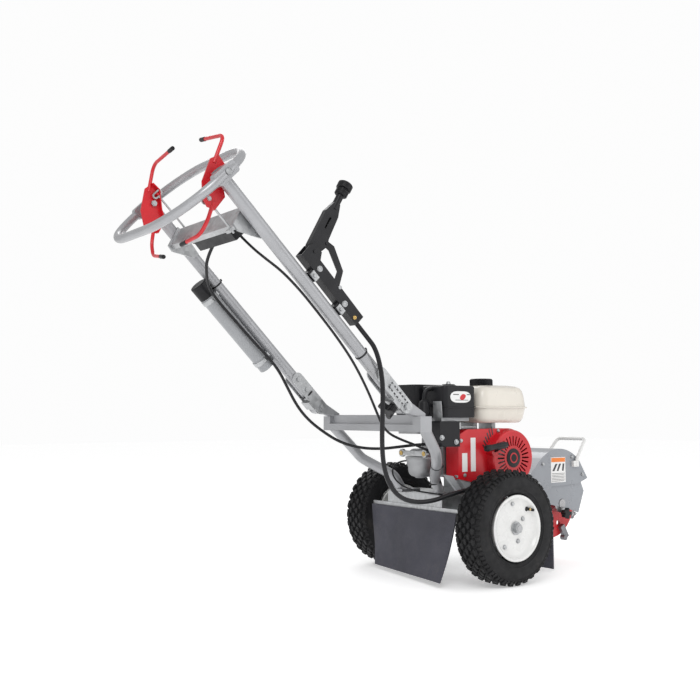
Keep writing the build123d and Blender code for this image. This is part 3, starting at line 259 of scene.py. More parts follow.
# Surface textures as (scale, strength, distance in metres).
ORANGE_PEEL = (260.0, 0.08, 0.0004)
MOULDED = (900.0, 0.22, 0.0003)
PRINTED = (900.0, 0.05, 0.0001)
MATERIALS = {
    "silver_paint": finish_with(
        "silver_paint", (0.37, 0.375, 0.39), 0.36, 0.45, 0.09, 7.0, 0.07,
        [(260.0, 0.03, 0.0002)], 0.2, ((0.30, 0.30, 0.31), 0.0), ((0.33, 0.33, 0.33), 0.02)),
    "grey_paint": finish_with(
        "grey_paint", (0.27, 0.285, 0.31), 0.30, 0.15, 0.08, 6.0, 0.08, [ORANGE_PEEL], 0.4,
        ((0.2, 0.2, 0.21), 0.0), ((0.24, 0.24, 0.24), 0.03)),
    "red_paint": finish_with(
        "red_paint", (0.56, 0.006, 0.014), 0.34, 0.0, 0.12, 8.0, 0.08, [ORANGE_PEEL], 0.2,
        ((0.25, 0.01, 0.012), 0.0)),
    "zinc": spangled("zinc", (0.50, 0.51, 0.52), 0.38),
    "steel": finish_with(
        "steel", (0.44, 0.44, 0.45), 0.32, 0.95, 0.15, 10.0, 0.12, [(500.0, 0.12, 0.0002)], 0.0,
        ((0.18, 0.15, 0.13), -0.02)),
    "black_steel": finish_with(
        "black_steel", (0.010, 0.010, 0.012), 0.40, 0.1, 0.35, 9.0, 0.12, [(600.0, 0.2, 0.0004)], 0.1,
        ((0.10, 0.10, 0.105), -0.03)),
    "cast_alloy": finish_with(
        "cast_alloy", (0.36, 0.365, 0.375), 0.48, 0.8, 0.16, 12.0, 0.14,
        [(320.0, 0.35, 0.0006), (70.0, 0.2, 0.001)], 0.0, None, ((0.22, 0.215, 0.21), 0.06)),
    "black_plastic": finish_with(
        "black_plastic", (0.009, 0.009, 0.011), 0.44, 0.0, 0.35, 8.0, 0.12, [MOULDED], 0.05,
        ((0.06, 0.06, 0.062), -0.04), ((0.05, 0.048, 0.045), -0.06)),
    "grey_plastic": finish_with(
        "grey_plastic", (0.33, 0.34, 0.355), 0.38, 0.0, 0.08, 8.0, 0.1, [MOULDED], 0.1,
        ((0.24, 0.24, 0.25), -0.02)),
    "red_plastic": finish_with(
        "red_plastic", (0.53, 0.005, 0.013), 0.34, 0.0, 0.14, 7.0, 0.07,
        [ORANGE_PEEL, (700.0, 0.08, 0.0002)], 0.2, ((0.30, 0.01, 0.012), -0.02)),
    "tank_white": finish_with(
        "tank_white", (0.70, 0.66, 0.59), 0.30, 0.0, 0.05, 6.0, 0.07, [ORANGE_PEEL], 0.35,
        None, ((0.56, 0.53, 0.46), -0.02)),
    "tyre_rubber": finish_with(
        "tyre_rubber", (0.010, 0.010, 0.011), 0.60, 0.0, 0.4, 16.0, 0.16,
        [(800.0, 0.35, 0.0004), (60.0, 0.15, 0.001)], 0.0, None, ((0.05, 0.046, 0.04), 0.02)),
    "flap_rubber": finish_with(
        "flap_rubber", (0.052, 0.052, 0.068), 0.60, 0.0, 0.18, 9.0, 0.12, [(700.0, 0.3, 0.0004)], 0.0,
        None, ((0.085, 0.082, 0.09), 0.0)),
    "cable_rubber": finish_with(
        "cable_rubber", (0.008, 0.008, 0.010), 0.40, 0.0, 0.3, 30.0, 0.1, [(900.0, 0.15, 0.0002)], 0.1),
    "rim_white": finish_with(
        "rim_white", (0.74, 0.74, 0.73), 0.28, 0.0, 0.04, 9.0, 0.06, [ORANGE_PEEL], 0.4,
        ((0.55, 0.53, 0.5), -0.04), ((0.62, 0.60, 0.56), 0.0)),
    "cutter_red": finish_with(
        "cutter_red", (0.52, 0.005, 0.012), 0.38, 0.0, 0.16, 10.0, 0.1,
        [ORANGE_PEEL, (90.0, 0.2, 0.001)], 0.15, ((0.20, 0.05, 0.045), 0.0)),
    "carbide": finish_with(
        "carbide", (0.22, 0.22, 0.235), 0.42, 0.9, 0.2, 30.0, 0.14, [(500.0, 0.3, 0.0004)]),
}
DARK_SHINE = 0.28
for dark in ("black_steel", "black_plastic", "tyre_rubber", "cable_rubber"):
    shader = MATERIALS[dark].node_tree.nodes["Principled BSDF"]
    shader.inputs["Specular IOR Level"].default_value = DARK_SHINE
BRASS = finish_with("brass", (0.52, 0.36, 0.13), 0.30, 0.95, 0.15, 25.0, 0.1, [(500.0, 0.1, 0.0002)])
WHITE_LABEL = finish_with("white_label", (0.78, 0.78, 0.77), 0.38, 0.0, 0.04, 12.0, 0.06, [PRINTED], 0.2)
ORANGE_LABEL = finish_with("orange_label", (0.78, 0.20, 0.02), 0.38, 0.0, 0.06, 12.0, 0.06, [PRINTED], 0.2)
# Dark print on the labels; the same dark also serves as painted shade in the slot boxes.
DARK_PRINT_AND_SLOT_SHADE = finish_with("dark_label", (0.03, 0.03, 0.035), 0.4, 0.0, 0.2, 12.0, 0.06, [PRINTED], 0.2)

for part in frame["record"]["subparts"]:
    node = frame["nodes"].get(part["node"])
    if node:
        node.data.materials.clear()
        node.data.materials.append(MATERIALS[part["material_slot"]])


# ---- Mesh building ----------------------------------------------------------
class Piece:
    """Collects shapes into one mesh. Sizes are in mm and placements come from place()."""

    def __init__(self):
        self.mesh = bmesh.new()

    def _soften(self, new_verts, width, steps):
        if width:
            # A dict keeps the edges in order, where a set would not.
            edges = dict.fromkeys(e for v in new_verts for e in v.link_edges if len(e.link_faces) == 2
                                  and e.calc_face_angle(0) > radians(30))
            bmesh.ops.bevel(self.mesh, geom=list(edges), offset=width * MM, segments=steps, profile=0.7,
                            affect="EDGES", clamp_overlap=True)

    def box(self, at, size, soft=0.8, steps=2):
        made = bmesh.ops.create_cube(self.mesh, size=1.0)["verts"]
        bmesh.ops.scale(self.mesh, verts=made, vec=[s * MM for s in size])
        bmesh.ops.transform(self.mesh, verts=made, matrix=at)
        self._soften(made, soft, steps)
        return self

    def prism(self, at, outline, height, soft=0.8, steps=2, shrink=1.0):
        """An outline in the local plane, extruded up its normal from 0 to height, where it is shrunk."""
        low = [self.mesh.verts.new(at @ Vector((x * MM, y * MM, 0))) for x, y in outline]
        high = [self.mesh.verts.new(at @ Vector((x * shrink * MM, y * shrink * MM, height * MM)))
                for x, y in outline]
        faces = [self.mesh.faces.new(low[::-1]), self.mesh.faces.new(high)]
        count = len(outline)
        for i in range(count):
            j = (i + 1) % count
            faces.append(self.mesh.faces.new((low[i], low[j], high[j], high[i])))
        bmesh.ops.recalc_face_normals(self.mesh, faces=faces)
        self._soften(low + high, soft, steps)
        return self

    def lathe(self, at, profile, around=40):
        """A profile of (radius, height) turned about the local z axis."""
        rings = []
        for radius, height in profile:
            if radius < 1e-4:
                rings.append([self.mesh.verts.new(at @ Vector((0, 0, height * MM)))])
            else:
                r = radius * MM
                rings.append([
                    self.mesh.verts.new(at @ Vector((r * cos(a), r * sin(a), height * MM)))
                    for a in (2 * pi * i / around for i in range(around))])
        faces = []
        for near, far in zip(rings, rings[1:]):
            for i in range(around):
                j = (i + 1) % around
                corners = ([near[0]] if len(near) == 1 else [near[i], near[j]]) + (
                    [far[0]] if len(far) == 1 else [far[j], far[i]])
                if len(corners) > 2:
                    faces.append(self.mesh.faces.new(corners))
        bmesh.ops.recalc_face_normals(self.mesh, faces=faces)
        return self

    def rod(self, points, radius, around=12, ends=0.25):
        """A round bar along smooth points in mm, with slightly rounded ends."""
        line = [Vector(p) for p in points]
        side = (line[1] - line[0]).orthogonal().normalized()
        rings = []
        stations = []
        for i, here in enumerate(line):
            ahead = (line[min(i + 1, len(line) - 1)] - line[max(i - 1, 0)]).normalized()
            side = (side - ahead * side.dot(ahead)).normalized()
            stations.append((here, ahead, side.copy()))
        first, last = stations[0], stations[-1]
        tip = radius * ends
        stations[0] = (first[0] + first[1] * tip, first[1], first[2])
        stations[-1] = (last[0] - last[1] * tip, last[1], last[2])
        loops = [(first, radius - tip)] + [(s, radius) for s in stations] + [(last, radius - tip)]
        for (here, ahead, across), r in loops:
            other = ahead.cross(across)
            rings.append([
                self.mesh.verts.new((here + (across * cos(a) + other * sin(a)) * r) * MM)
                for a in (2 * pi * k / around for k in range(around))])
        faces = [self.mesh.faces.new(rings[0][::-1]), self.mesh.faces.new(rings[-1])]
        for near, far in zip(rings, rings[1:]):
            for k in range(around):
                m = (k + 1) % around
                faces.append(self.mesh.faces.new((near[k], near[m], far[m], far[k])))
        bmesh.ops.recalc_face_normals(self.mesh, faces=faces)
        return self

    def bolt(self, at, radius, height, washer=True):
        """A hex head standing on the placement's plane, with chamfered corners and a washer."""
        base = 0.0
        if washer:
            base = 1.2
            foot, rim = radius * 1.25, radius * 1.3
            self.lathe(at, [(0, 0), (foot, 0), (rim, 0.5), (foot, base), (0, base)], 24)
        self.lathe(at, [
            (0, base), (radius, base), (radius, base + height * 0.82), (radius * 0.86, base + height),
            (0, base + height)], 6)
        return self

    def done(self, name, material, body, crease=35.0):
        data = bpy.data.meshes.new(name)
        self.mesh.to_mesh(data)
        self.mesh.free()
        data.materials.append(material)
        data.shade_smooth()
        data.set_sharp_from_angle(angle=radians(crease))
        made = bpy.data.objects.new(name, data)
        bpy.context.scene.collection.objects.link(made)
        if body:
            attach(made, body)
        return made


# ---- Cables: one smooth curve each, the same points as the CAD part ---------
BRAKE_Y = -TUBE_Y
BRAKE_ROUTE = [
    on_handle(271, 47, BRAKE_Y), on_handle(228, 44, -214), (-226, -234, 664), (-213, -245, 583),
    (-212, -243, 501), (-209, -235, 421), (-199, -228, 354), (-175, -224, 299), (-133, -219, 262),
    (-73, -214, 247), (-10, -208, 247), (50, -202, 257), (111, -197, 268), (170, -190, 271), (220, -178, 262),
    (252, -170, 240),
]
THROTTLE_ROUTE = [
    on_handle(639, -10, -112), on_handle(606, -22, -142), on_handle(566, -31, -180),
    on_handle(520, -30, -204), on_handle(450, -26, -210), on_handle(370, -27, -213),
    on_handle(280, -29, -213), on_handle(200, -36, -212), on_handle(120, -53, -210),
    on_handle(50, -72, -205), (-181, -199, 461), (-150, -190, 437), (-98, -176, 420),
    (-31, -160, 403), (18, -150, 388), (52, -146, 379), (76, -146, 391),
]
HARNESS_ROUTE = [
    on_handle(638, -20, 30), on_handle(618, -42, 62), on_handle(580, -52, 102), on_handle(535, -52, 150),
    on_handle(480, -46, 174), on_handle(400, -42, 177), on_handle(320, -41, 176), on_handle(250, -36, 176),
    on_handle(190, -34, 184), on_handle(130, -42, 196), on_handle(66, -58, 195), on_handle(8, -62, 189),
    (-122, 172, 436), (-76, 148, 404), (-30, 108, 387), (12, 58, 384), (48, 4, 392), (84, -42, 399),
    (126.8, -62, 401),
]
WIRE_ROUTE = [
    (72.6, -6, 350), (44, 14, 349), (24, 20, 318), (22, -8, 288), (34, -52, 268), (66, -94, 259),
    (108, -120, 253),
]


def spline_curve(name, route, radius):
    data = bpy.data.curves.new(name, "CURVE")
    data.dimensions = "3D"
    spline = data.splines.new("NURBS")
    spline.points.add(len(route) - 1)
    for point, where in zip(spline.points, route):
        point.co = (*metres(where), 1)
    spline.order_u = 3
    spline.use_endpoint_u = True
    spline.resolution_u = 10
    data.bevel_depth = radius * MM
    data.bevel_resolution = 5
    data.use_fill_caps = True
    made = bpy.data.objects.new(name, data)
    bpy.context.scene.collection.objects.link(made)
    return made


def line_of(curve):
    """The points of a curve's own line, in metres."""
    depth, curve.data.bevel_depth = curve.data.bevel_depth, 0
    bpy.context.view_layer.update()
    flat = bpy.data.meshes.new_from_object(curve.evaluated_get(bpy.context.evaluated_depsgraph_get()))
    points = [v.co.copy() for v in flat.vertices]
    bpy.data.meshes.remove(flat)
    curve.data.bevel_depth = depth
    bpy.context.view_layer.update()
    return points


def cable(name, route, radius, nodes, bend=None):
    """A sheathed cable held at both ends.

    bend is two points where it would turn with the handle; only whether it is given is read: a cable with it
    is left without a body, one without it goes with the frame."""
    curve = spline_curve(name + "_line", route, radius)
    path = line_of(curve)
    data = bpy.data.meshes.new_from_object(curve.evaluated_get(bpy.context.evaluated_depsgraph_get()))
    bpy.data.objects.remove(curve)
    made = bpy.data.objects.new(name, data)
    bpy.context.scene.collection.objects.link(made)
    data.materials.clear()
    data.materials.append(MATERIALS["cable_rubber"])
    data.shade_smooth()
    data.set_sharp_from_angle(angle=radians(50))
    if bend:
        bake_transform(made)
    else:
        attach(made, "frame")
    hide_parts(*nodes)


cable("brake_cable_sheath", BRAKE_ROUTE, 6.5, ["brake_cable"],
      ((-190, -228, 320), (-228, -234, 672)))
cable("throttle_cable_sheath", THROTTLE_ROUTE, 3.5, ["throttle_cable"],
      ((-80, -170, 410), (-215, -204, 520)))
cable("control_harness", HARNESS_ROUTE, 4.5, ["control_cable"],
      ((-70, 145, 402), (-190, 187, 500)))
cable("engine_wire", WIRE_ROUTE, 2.5, [])

# ---- Tyres: ribbed sidewalls, hexagonal studs and shoulder lugs ----------------
STUD_ROWS = (-31.0, -15.5, 0.0, 15.5, 31.0)
STUDS_AROUND = 34
CARCASS_R = 157.6
STUD = [(12.6, 0), (7.2, 6.5), (-7.2, 6.5), (-12.6, 0), (-7.2, -6.5), (7.2, -6.5)]
LUG = [(4.8, 7), (-4.8, 7), (-4.8, -7), (4.8, -7)]
# Half a section of the tyre as (radius, distance from its middle), from the crown round to the bead.
HALF_TYRE = [
    (158.6, 0), (158.6, 14), (158.0, 28), (156.0, 37), (152.5, 43.5), (148.5, 46.5), (147.6, 48.2),
    (145.4, 48.6), (144.6, 47.6), (138, 49.0), (130, 49.6), (122, 49.4), (113, 48.0), (111.5, 48.8),
    (109.5, 48.4), (108.8, 46.8), (103.5, 44.6), (101.8, 45.4), (99.6, 44.4), (98.6, 41.5), (96.6, 39.0),
    (93.2, 34.0), (92.6, 28.0),
]
# The pressed dish with its rolled lips as (radius, distance outwards from the wheel's middle).
DISH = [
    (19.5, 40.0), (25, 40.2), (29, 38.6), (33, 36.2), (62, 35.2), (74, 36.6), (80, 39.8), (83.5, 44.5),
    (86.5, 48.6), (90, 50.4), (93.2, 50.2), (94.7, 48.4), (94.2, 45.5), (91.6, 41.5), (90.0, 37.5),
    (88.6, 28), (84, 18), (82.6, 8), (82.6, -8), (84, -18), (88.6, -28), (90.0, -37.5), (91.6, -41.5),
    (94.2, -45.5), (94.7, -48.4), (93.2, -50.2), (90, -50.4), (87.6, -48.6), (86.0, -42), (84.6, -30),
    (80.4, -18), (79.6, -8), (79.6, 8), (80.4, 18), (82, 28), (79, 33.4), (72, 32.8), (60, 31.8),
    (33, 32.4), (26, 34), (19.5, 35), (19.5, 40.0),
]
RIM_BOLTS = {"left": [(7, 69), (-34, 24), (-13, -38), (41, -51)],
             "right": [(-7, 69), (34, 24), (13, -38), (-41, -51)]}
for side, sign in SIDES:
    middle = place((AXLE[0], sign * TRACK / 2, AXLE[1]), (1, 0, 0), (0, 1, 0))
    tyre = Piece()
    profile = [(r, -y) for r, y in HALF_TYRE[:0:-1]] + HALF_TYRE
    tyre.lathe(middle, profile, 96)
    for row, across in enumerate(STUD_ROWS):
        for i in range(STUDS_AROUND):
            turn = 2 * pi * (i + 0.5 * (row % 2)) / STUDS_AROUND
            at = (AXLE[0] + CARCASS_R * cos(turn), sign * TRACK / 2 + across, AXLE[1] + CARCASS_R * sin(turn))
            foot = place(at, (-sin(turn), 0, cos(turn)), (cos(turn), 0, sin(turn)))
            tyre.prism(foot, STUD, 7.2 if abs(across) < 20 else 6.4, 0.0, shrink=0.78)
    for edge in (1, -1):
        for i in range(2 * STUDS_AROUND):
            turn = 2 * pi * (i + 0.25) / (2 * STUDS_AROUND)
            reach = 153.0 if i % 2 else 150.5
            at = (AXLE[0] + reach * cos(turn), sign * TRACK / 2 + edge * 42.0, AXLE[1] + reach * sin(turn))
            out = (cos(turn) * 0.8, edge * 0.6, sin(turn) * 0.8)
            tyre.prism(place(at, (-sin(turn), 0, cos(turn)), out), LUG, 4.2, 0.0, shrink=0.75)
    piece = tyre.done("tyre_tread_" + side, MATERIALS["tyre_rubber"], "wheel_" + side, 30.0)
    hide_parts("tyre_" + side)

    # The rim is a pressed dish with rolled lips, welded round a plain hub tube.
    face = place((AXLE[0], sign * TRACK / 2, AXLE[1]), (1, 0, 0), (0, sign, 0))
    rim = Piece()
    rim.lathe(face, DISH, 80)
    rim.lathe(face, [(12.8, -75), (19.5, -75), (19.5, 41), (12.8, 41), (12.8, -75)], 40)
    piece = rim.done("rim_dish_" + side, MATERIALS["rim_white"], "wheel_" + side)
    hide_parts("rim_" + side)
    bolts = Piece()
    for dx, dz in RIM_BOLTS[side]:
        at = (AXLE[0] + dx, sign * (TRACK / 2 + 35.6), AXLE[1] + dz)
        bolts.bolt(place(at, (1, 0, 0), (0, sign, 0)), 5.6, 4.0)
    bolts.done("rim_bolts_" + side, MATERIALS["zinc"], "wheel_" + side)
    valve_at = (AXLE[0] + 52, sign * (TRACK / 2 + 36), AXLE[1] + 51)
    valve = Piece()
    lean = place(valve_at, (0, 0, 1), (0.55, sign, -0.15))
    valve.lathe(lean, [(0, -3), (7.0, -3), (7.4, 0), (6.6, 1.5), (4.6, 3), (4.2, 9), (0, 9)], 20)
    valve.done("valve_base_" + side, MATERIALS["cable_rubber"], "wheel_" + side)
    stem = Piece()
    stem.lathe(lean, [(0, 8.5), (3.4, 8.5), (3.4, 13), (2.8, 14), (0, 14)], 16)
    stem.done("valve_stem_" + side, BRASS, "wheel_" + side)
    cap = Piece()
    cap.lathe(lean, [(0, 13.6), (4.2, 13.6), (4.3, 20), (3.4, 22), (0, 22)], 12)
    cap.done("valve_cap_" + side, MATERIALS["black_plastic"], "wheel_" + side)

# ---- Rubber flaps: ribbed sheet ----------------------------------------------
def ribbed_sheet(name, edges, thick, ribs, rows, body, node, sag=0.0):
    """A ribbed rubber sheet ruled between two edge lines of (x, y, z), with a shallow wave.

    sag is the height of the wave, in mm."""
    left, right = edges
    mesh = bmesh.new()

    def along(line, v):
        place_on = v * (len(line) - 1)
        i = min(int(place_on), len(line) - 2)
        return Vector(line[i]).lerp(Vector(line[i + 1]), place_on - i)

    across_count = ribs * 4
    layers = []
    for layer in (0, 1):
        grid = []
        for j in range(rows + 1):
            v = j / rows
            start, end = along(left, v), along(right, v)
            row = []
            for i in range(across_count + 1):
                u = i / across_count
                at = start.lerp(end, u)
                wave = sag * sin(2 * pi * u) * v * v + sag * 0.5 * sin(3.3 * pi * u + 0.8) * v
                depth = wave + (0 if layer == 0 else thick)
                if layer == 0 and 0 < i < across_count:
                    depth += 0.0 if (i % 4) in (1, 2) else 0.75
                row.append(mesh.verts.new((at + Vector((depth, 0, 0))) * MM))
            grid.append(row)
        layers.append(grid)
    for grid in layers:
        for j in range(rows):
            for i in range(across_count):
                mesh.faces.new((grid[j][i], grid[j][i + 1], grid[j + 1][i + 1], grid[j + 1][i]))
    near, far = layers
    for j in (0, rows):
        for i in range(across_count):
            mesh.faces.new((near[j][i], near[j][i + 1], far[j][i + 1], far[j][i]))
    for i in (0, across_count):
        for j in range(rows):
            mesh.faces.new((near[j][i], near[j + 1][i], far[j + 1][i], far[j][i]))
    bmesh.ops.recalc_face_normals(mesh, faces=mesh.faces)
    data = bpy.data.meshes.new(name)
    mesh.to_mesh(data)
    mesh.free()
    data.materials.append(MATERIALS["flap_rubber"])
    made = bpy.data.objects.new(name, data)
    bpy.context.scene.collection.objects.link(made)
    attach(made, body)
    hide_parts(node)
    return made


REAR_RIGHT = [(87.6, -200, 205), (74, -200, 150), (50, -200, 80), (21, -200, 16)]
REAR_LEFT = [(87.6, 200, 205), (92, 200, 150), (99, 200, 80), (99, 200, 14)]


def smooth_edge(line, steps=24):
    """A soft curve through an edge's four places."""
    out = []
    for k in range(steps + 1):
        v = k / steps * (len(line) - 1)
        i = min(int(v), len(line) - 2)
        f = v - i
        p0, p1, p2, p3 = (Vector(line[max(0, min(len(line) - 1, i + d))]) for d in (-1, 0, 1, 2))
        out.append(0.5 * ((2 * p1) + (p2 - p0) * f + (2 * p0 - 5 * p1 + 4 * p2 - p3) * f * f
                          + (3 * p1 - p0 - 3 * p2 + p3) * f ** 3))
    return out


FLAP_THICK = 4.6
FRONT_RIGHT = [(513.8, -180, 176), (513.8, -180, 6)]
FRONT_LEFT = [(513.8, 180, 176), (513.8, 180, 6)]
ribbed_sheet("rear_flap_sheet", (smooth_edge(REAR_RIGHT), smooth_edge(REAR_LEFT)), FLAP_THICK, 80, 24,
             "frame", "rear_flap", 1.2)
ribbed_sheet("front_flap_sheet", (FRONT_RIGHT, FRONT_LEFT), FLAP_THICK, 72, 8,
             "frame", "front_flap", 0.0)

# ---- Bail levers: rubber tips, flanges and pin heads ---------------------------
# The left lever rests a little further round than the right one.
BAIL_TURN = {"left": radians(-10.5), "right": 0.0}
# Each rod's end and the point before it, as (s, t) on the lever and y to the side.
BAIL_ENDS = (((76, 105), (64, 92), 60, 188.5), ((-83, -144), (-80, -128), 85, 168))
BAIL_FLANGE = ((37, 42), (12, 40), (-26, -2), (-50, -18), (-56, -62))
BAIL_PIN = {"left": (9, 26), "right": (-26, -56)}


def on_bail(point, side):
    angle = BAIL_TURN[side]
    s = point[0] * cos(angle) - point[1] * sin(angle)
    t = point[0] * sin(angle) + point[1] * cos(angle)
    return (RING_S + s, t)


for side, sign in SIDES:
    tips = Piece()
    for rod_end, before, y_end, y_before in BAIL_ENDS:
        end = Vector(on_handle(*on_bail(rod_end, side), sign * y_end))
        inner = Vector(on_handle(*on_bail(before, side), sign * y_before))
        way = (inner - end).normalized()
        at = place(end - way * 2.0, (0, 0, 1), way)
        tips.lathe(at, [
            (0, 0), (4.4, 0), (5.8, 1.4), (6.1, 4), (5.9, 20), (6.1, 24), (5.8, 26), (4.9, 26.4)], 24)
    tips.done("bail_tips_" + side, MATERIALS["cable_rubber"], "bail_" + side)
    flange = Piece()
    outline = [on_bail(point, side) for point in BAIL_FLANGE]
    for (s0, t0), (s1, t1) in zip(outline, outline[1:]):
        length = ((s1 - s0) ** 2 + (t1 - t0) ** 2) ** 0.5
        middle_at = beside_handle((s0 + s1) / 2, (t0 + t1) / 2, sign * 181.5)
        spin = Matrix.Rotation(atan2(t1 - t0, s1 - s0), 4, "Z")
        flange.box(middle_at @ spin, (length + 1.5, 3.0, 14), 0.8)
    flange.done("bail_flange_" + side, MATERIALS["red_paint"], "bail_" + side)
    pin_head = Piece()
    pin_at = beside_handle(*on_bail(BAIL_PIN[side], side), sign * 190.6)
    pin_head.bolt(outwards(pin_at, sign), 5.0, 3.4)
    pin_head.done("bail_pin_head_" + side, MATERIALS["zinc"], "bail_" + side)

# ---- Parking-brake lever: rivets, brass pin, mounting blocks and ribbed knob -----
CHANNEL_FACE = BRAKE_Y - 15.0
heads = Piece()
for s, t, r in ((456, 51, 8.5), (338, 46, 9.0)):
    heads.lathe(beside_handle(s, t, CHANNEL_FACE) @ OVER, [
        (0, 0), (r, 0), (r * 1.04, 1.2), (r * 0.92, 3.4), (r * 0.55, 4.2), (r * 0.5, 3.0), (0, 3.0)], 28)
heads.lathe(beside_handle(379, 66, CHANNEL_FACE) @ OVER, [
    (0, 0), (5.2, 0), (5.2, 2), (3.6, 3.2), (0, 3.4)], 24)
heads.done("bracket_rivets", MATERIALS["zinc"], "handle")
brass_pin = Piece()
brass_pin.lathe(beside_handle(290, 45, CHANNEL_FACE) @ OVER, [
    (0, 0), (5.6, 0), (5.8, 1.2), (4.6, 2.6), (2.4, 2.8), (2.2, 1.6), (0, 1.6)], 24)
brass_pin.done("bracket_brass_pin", BRASS, "handle")
blocks = Piece()
for s in (336, 453):
    blocks.box(beside_handle(s, TUBE_R + 9.0, BRAKE_Y), (26, 17, 33), 1.2)
    blocks.bolt(beside_handle(s, TUBE_R + 9.0, BRAKE_Y - 16.6) @ OVER, 4.6, 3.2)
blocks.done("bracket_blocks", MATERIALS["zinc"], "handle")
c, s = cos(ARM_SLOPE), sin(ARM_SLOPE)
arm_axis = (-c * COS + s * SIN, 0, c * SIN + s * COS)
knob_at = place(on_handle(*on_arm(186), BRAKE_Y), (0, 1, 0), arm_axis)
knob = Piece()
profile = [(0, 0), (13, 0), (15, 1.0)]
for tier, (low, high, radius) in enumerate(((2, 17, 18.2), (21, 40, 21.2))):
    profile += [(radius - 2, low), (radius, low + 1.8)]
    for ridge in range(3):
        at = low + 3.5 + ridge * (high - low - 6) / 3
        profile += [(radius, at), (radius - 0.9, at + 0.8), (radius - 0.9, at + 1.6), (radius, at + 2.4)]
    profile += [(radius, high - 2), (radius - 2.0, high)]
    if tier == 0:
        profile += [(15.5, 17.6), (15.5, 20.4)]
profile += [(13, 41.6), (0, 42)]
knob.lathe(knob_at, profile, 48)
piece = knob.done("brake_knob_grip", MATERIALS["black_plastic"], "brake_knob")
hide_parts("brake_knob")

# ---- Hinge: rivets on the clevis cheeks, and the zip ties of the cables ----------
rivets = Piece()
for side, sign in SIDES:
    cheek = sign * (TUBE_Y + TUBE_R + 4.0)
    for row in range(6):
        at = beside_handle(14 + row * 9.0, 13.5 if row % 2 else -8, cheek)
        rivets.bolt(outwards(at, sign), 3.0, 1.6, False)
rivets.done("hinge_rivets", MATERIALS["zinc"], "handle")


def tie(ties, at, radius):
    """A strap of 4.4 mm round a bar, with its head on local x."""
    inner, outer, half = radius - 0.4, radius + 1.3, 2.2
    ties.lathe(at, [(inner, -half), (outer, -half), (outer, half), (inner, half), (inner, -half)], 32)
    head = at @ Matrix.Translation(Vector((radius + 2.5, 0, 0)) * MM)
    ties.box(head, (6, 6, 7), 0.8)


handle_ties = Piece()
tie(handle_ties, up_handle(199, 0, BRAKE_Y), TUBE_R + 0.2)
tie(handle_ties, up_handle(508, 0, TUBE_Y), TUBE_R + 0.2)
tie(handle_ties, up_handle(62, 0, TUBE_Y), TUBE_R + 5.4)
handle_ties.done("cable_ties_handle", MATERIALS["cable_rubber"], "handle")
leg_ties = Piece()
tie(leg_ties, place((101, -95, 291), (0, -1, 0.2), (22, 6, -38)), 16.3)
tie(leg_ties, place((43, -167, 344), (0, -1, 0.2), (40, 54, -34)), 16.3)
leg_ties.done("cable_ties_leg", MATERIALS["cable_rubber"], "frame")

# ---- Blank labels and plain printed bars -----------------------------------------
# Labels lie on the right-hand faces, and the print lies on the labels. Outlines are in (x, z).
SHROUD_LABEL = on_side(0, -160.1, 0)
CLEANER_LABEL, CLEANER_PRINT = on_side(0, -169.9, 0), on_side(0, -170.4, 0)
HOUSING_LABEL, HOUSING_PRINT = on_side(0, -64.9, 0), on_side(0, -65.4, 0)
CLEANER_X, CLEANER_Y, CLEANER_Z = 137.5, -116.0, 541.0
labels = Piece()
labels.prism(SHROUD_LABEL, rectangle(185, 320, 205, 420), 0.6, 0.2, 1)
labels.prism(SHROUD_LABEL, rectangle(150, 320, 171, 375), 0.6, 0.2, 1)
oval = []
for i in range(40):
    a = 2 * pi * i / 40
    widen = abs(cos(a)) ** -0.45 if abs(cos(a)) > 1e-3 else 1
    oval.append((max(96, min(183, CLEANER_X + 41 * cos(a) * widen)), CLEANER_Z + 17 * sin(a)))
labels.prism(CLEANER_LABEL, oval, 0.6, 0.2, 1)
labels.prism(HOUSING_LABEL, rectangle(640, 262, 712, 346), 0.6, 0.2, 1)
labels.done("blank_labels", WHITE_LABEL, "frame")
spot = []
for i in range(28):
    a = 2 * pi * i / 28
    spot.append((146 + 11 * cos(a) * (1 + 0.12 * sin(2 * a)) + 2.5 * sin(a), CLEANER_Z + 9 * sin(a)))
red_spot = Piece()
red_spot.prism(CLEANER_PRINT, spot, 0.7, 0.2, 1)
red_spot.done("cleaner_red_dot", MATERIALS["red_plastic"], "frame")
bars = Piece()
for low, high, start, stop in ((547, 549.5, 108, 130), (547, 549.5, 162, 174), (531, 532.6, 116, 168)):
    bars.prism(CLEANER_PRINT, rectangle(start, low, stop, high), 0.5, 0.1, 1)
for row in range(6):
    low, foot = 266 + 5 * row, 708 if row % 2 else 700
    bars.prism(HOUSING_PRINT, [(644, low), (foot, low), (708, low + 1.4), (644, low + 1.4)], 0.5, 0.1, 1)
for foot, foot_end, top_end, top in ((646, 656, 672, 662), (668, 676, 690, 680), (694, 702, 706, 698)):
    bars.prism(HOUSING_PRINT, [(foot, 300), (foot_end, 300), (top_end, 324), (top, 324)], 0.5, 0.1, 1)
bars.done("label_bars", DARK_PRINT_AND_SLOT_SHADE, "frame")
band = Piece()
band.prism(HOUSING_PRINT, rectangle(642, 330, 710, 344), 0.5, 0.1, 1)
band.done("label_orange_band", ORANGE_LABEL, "frame")

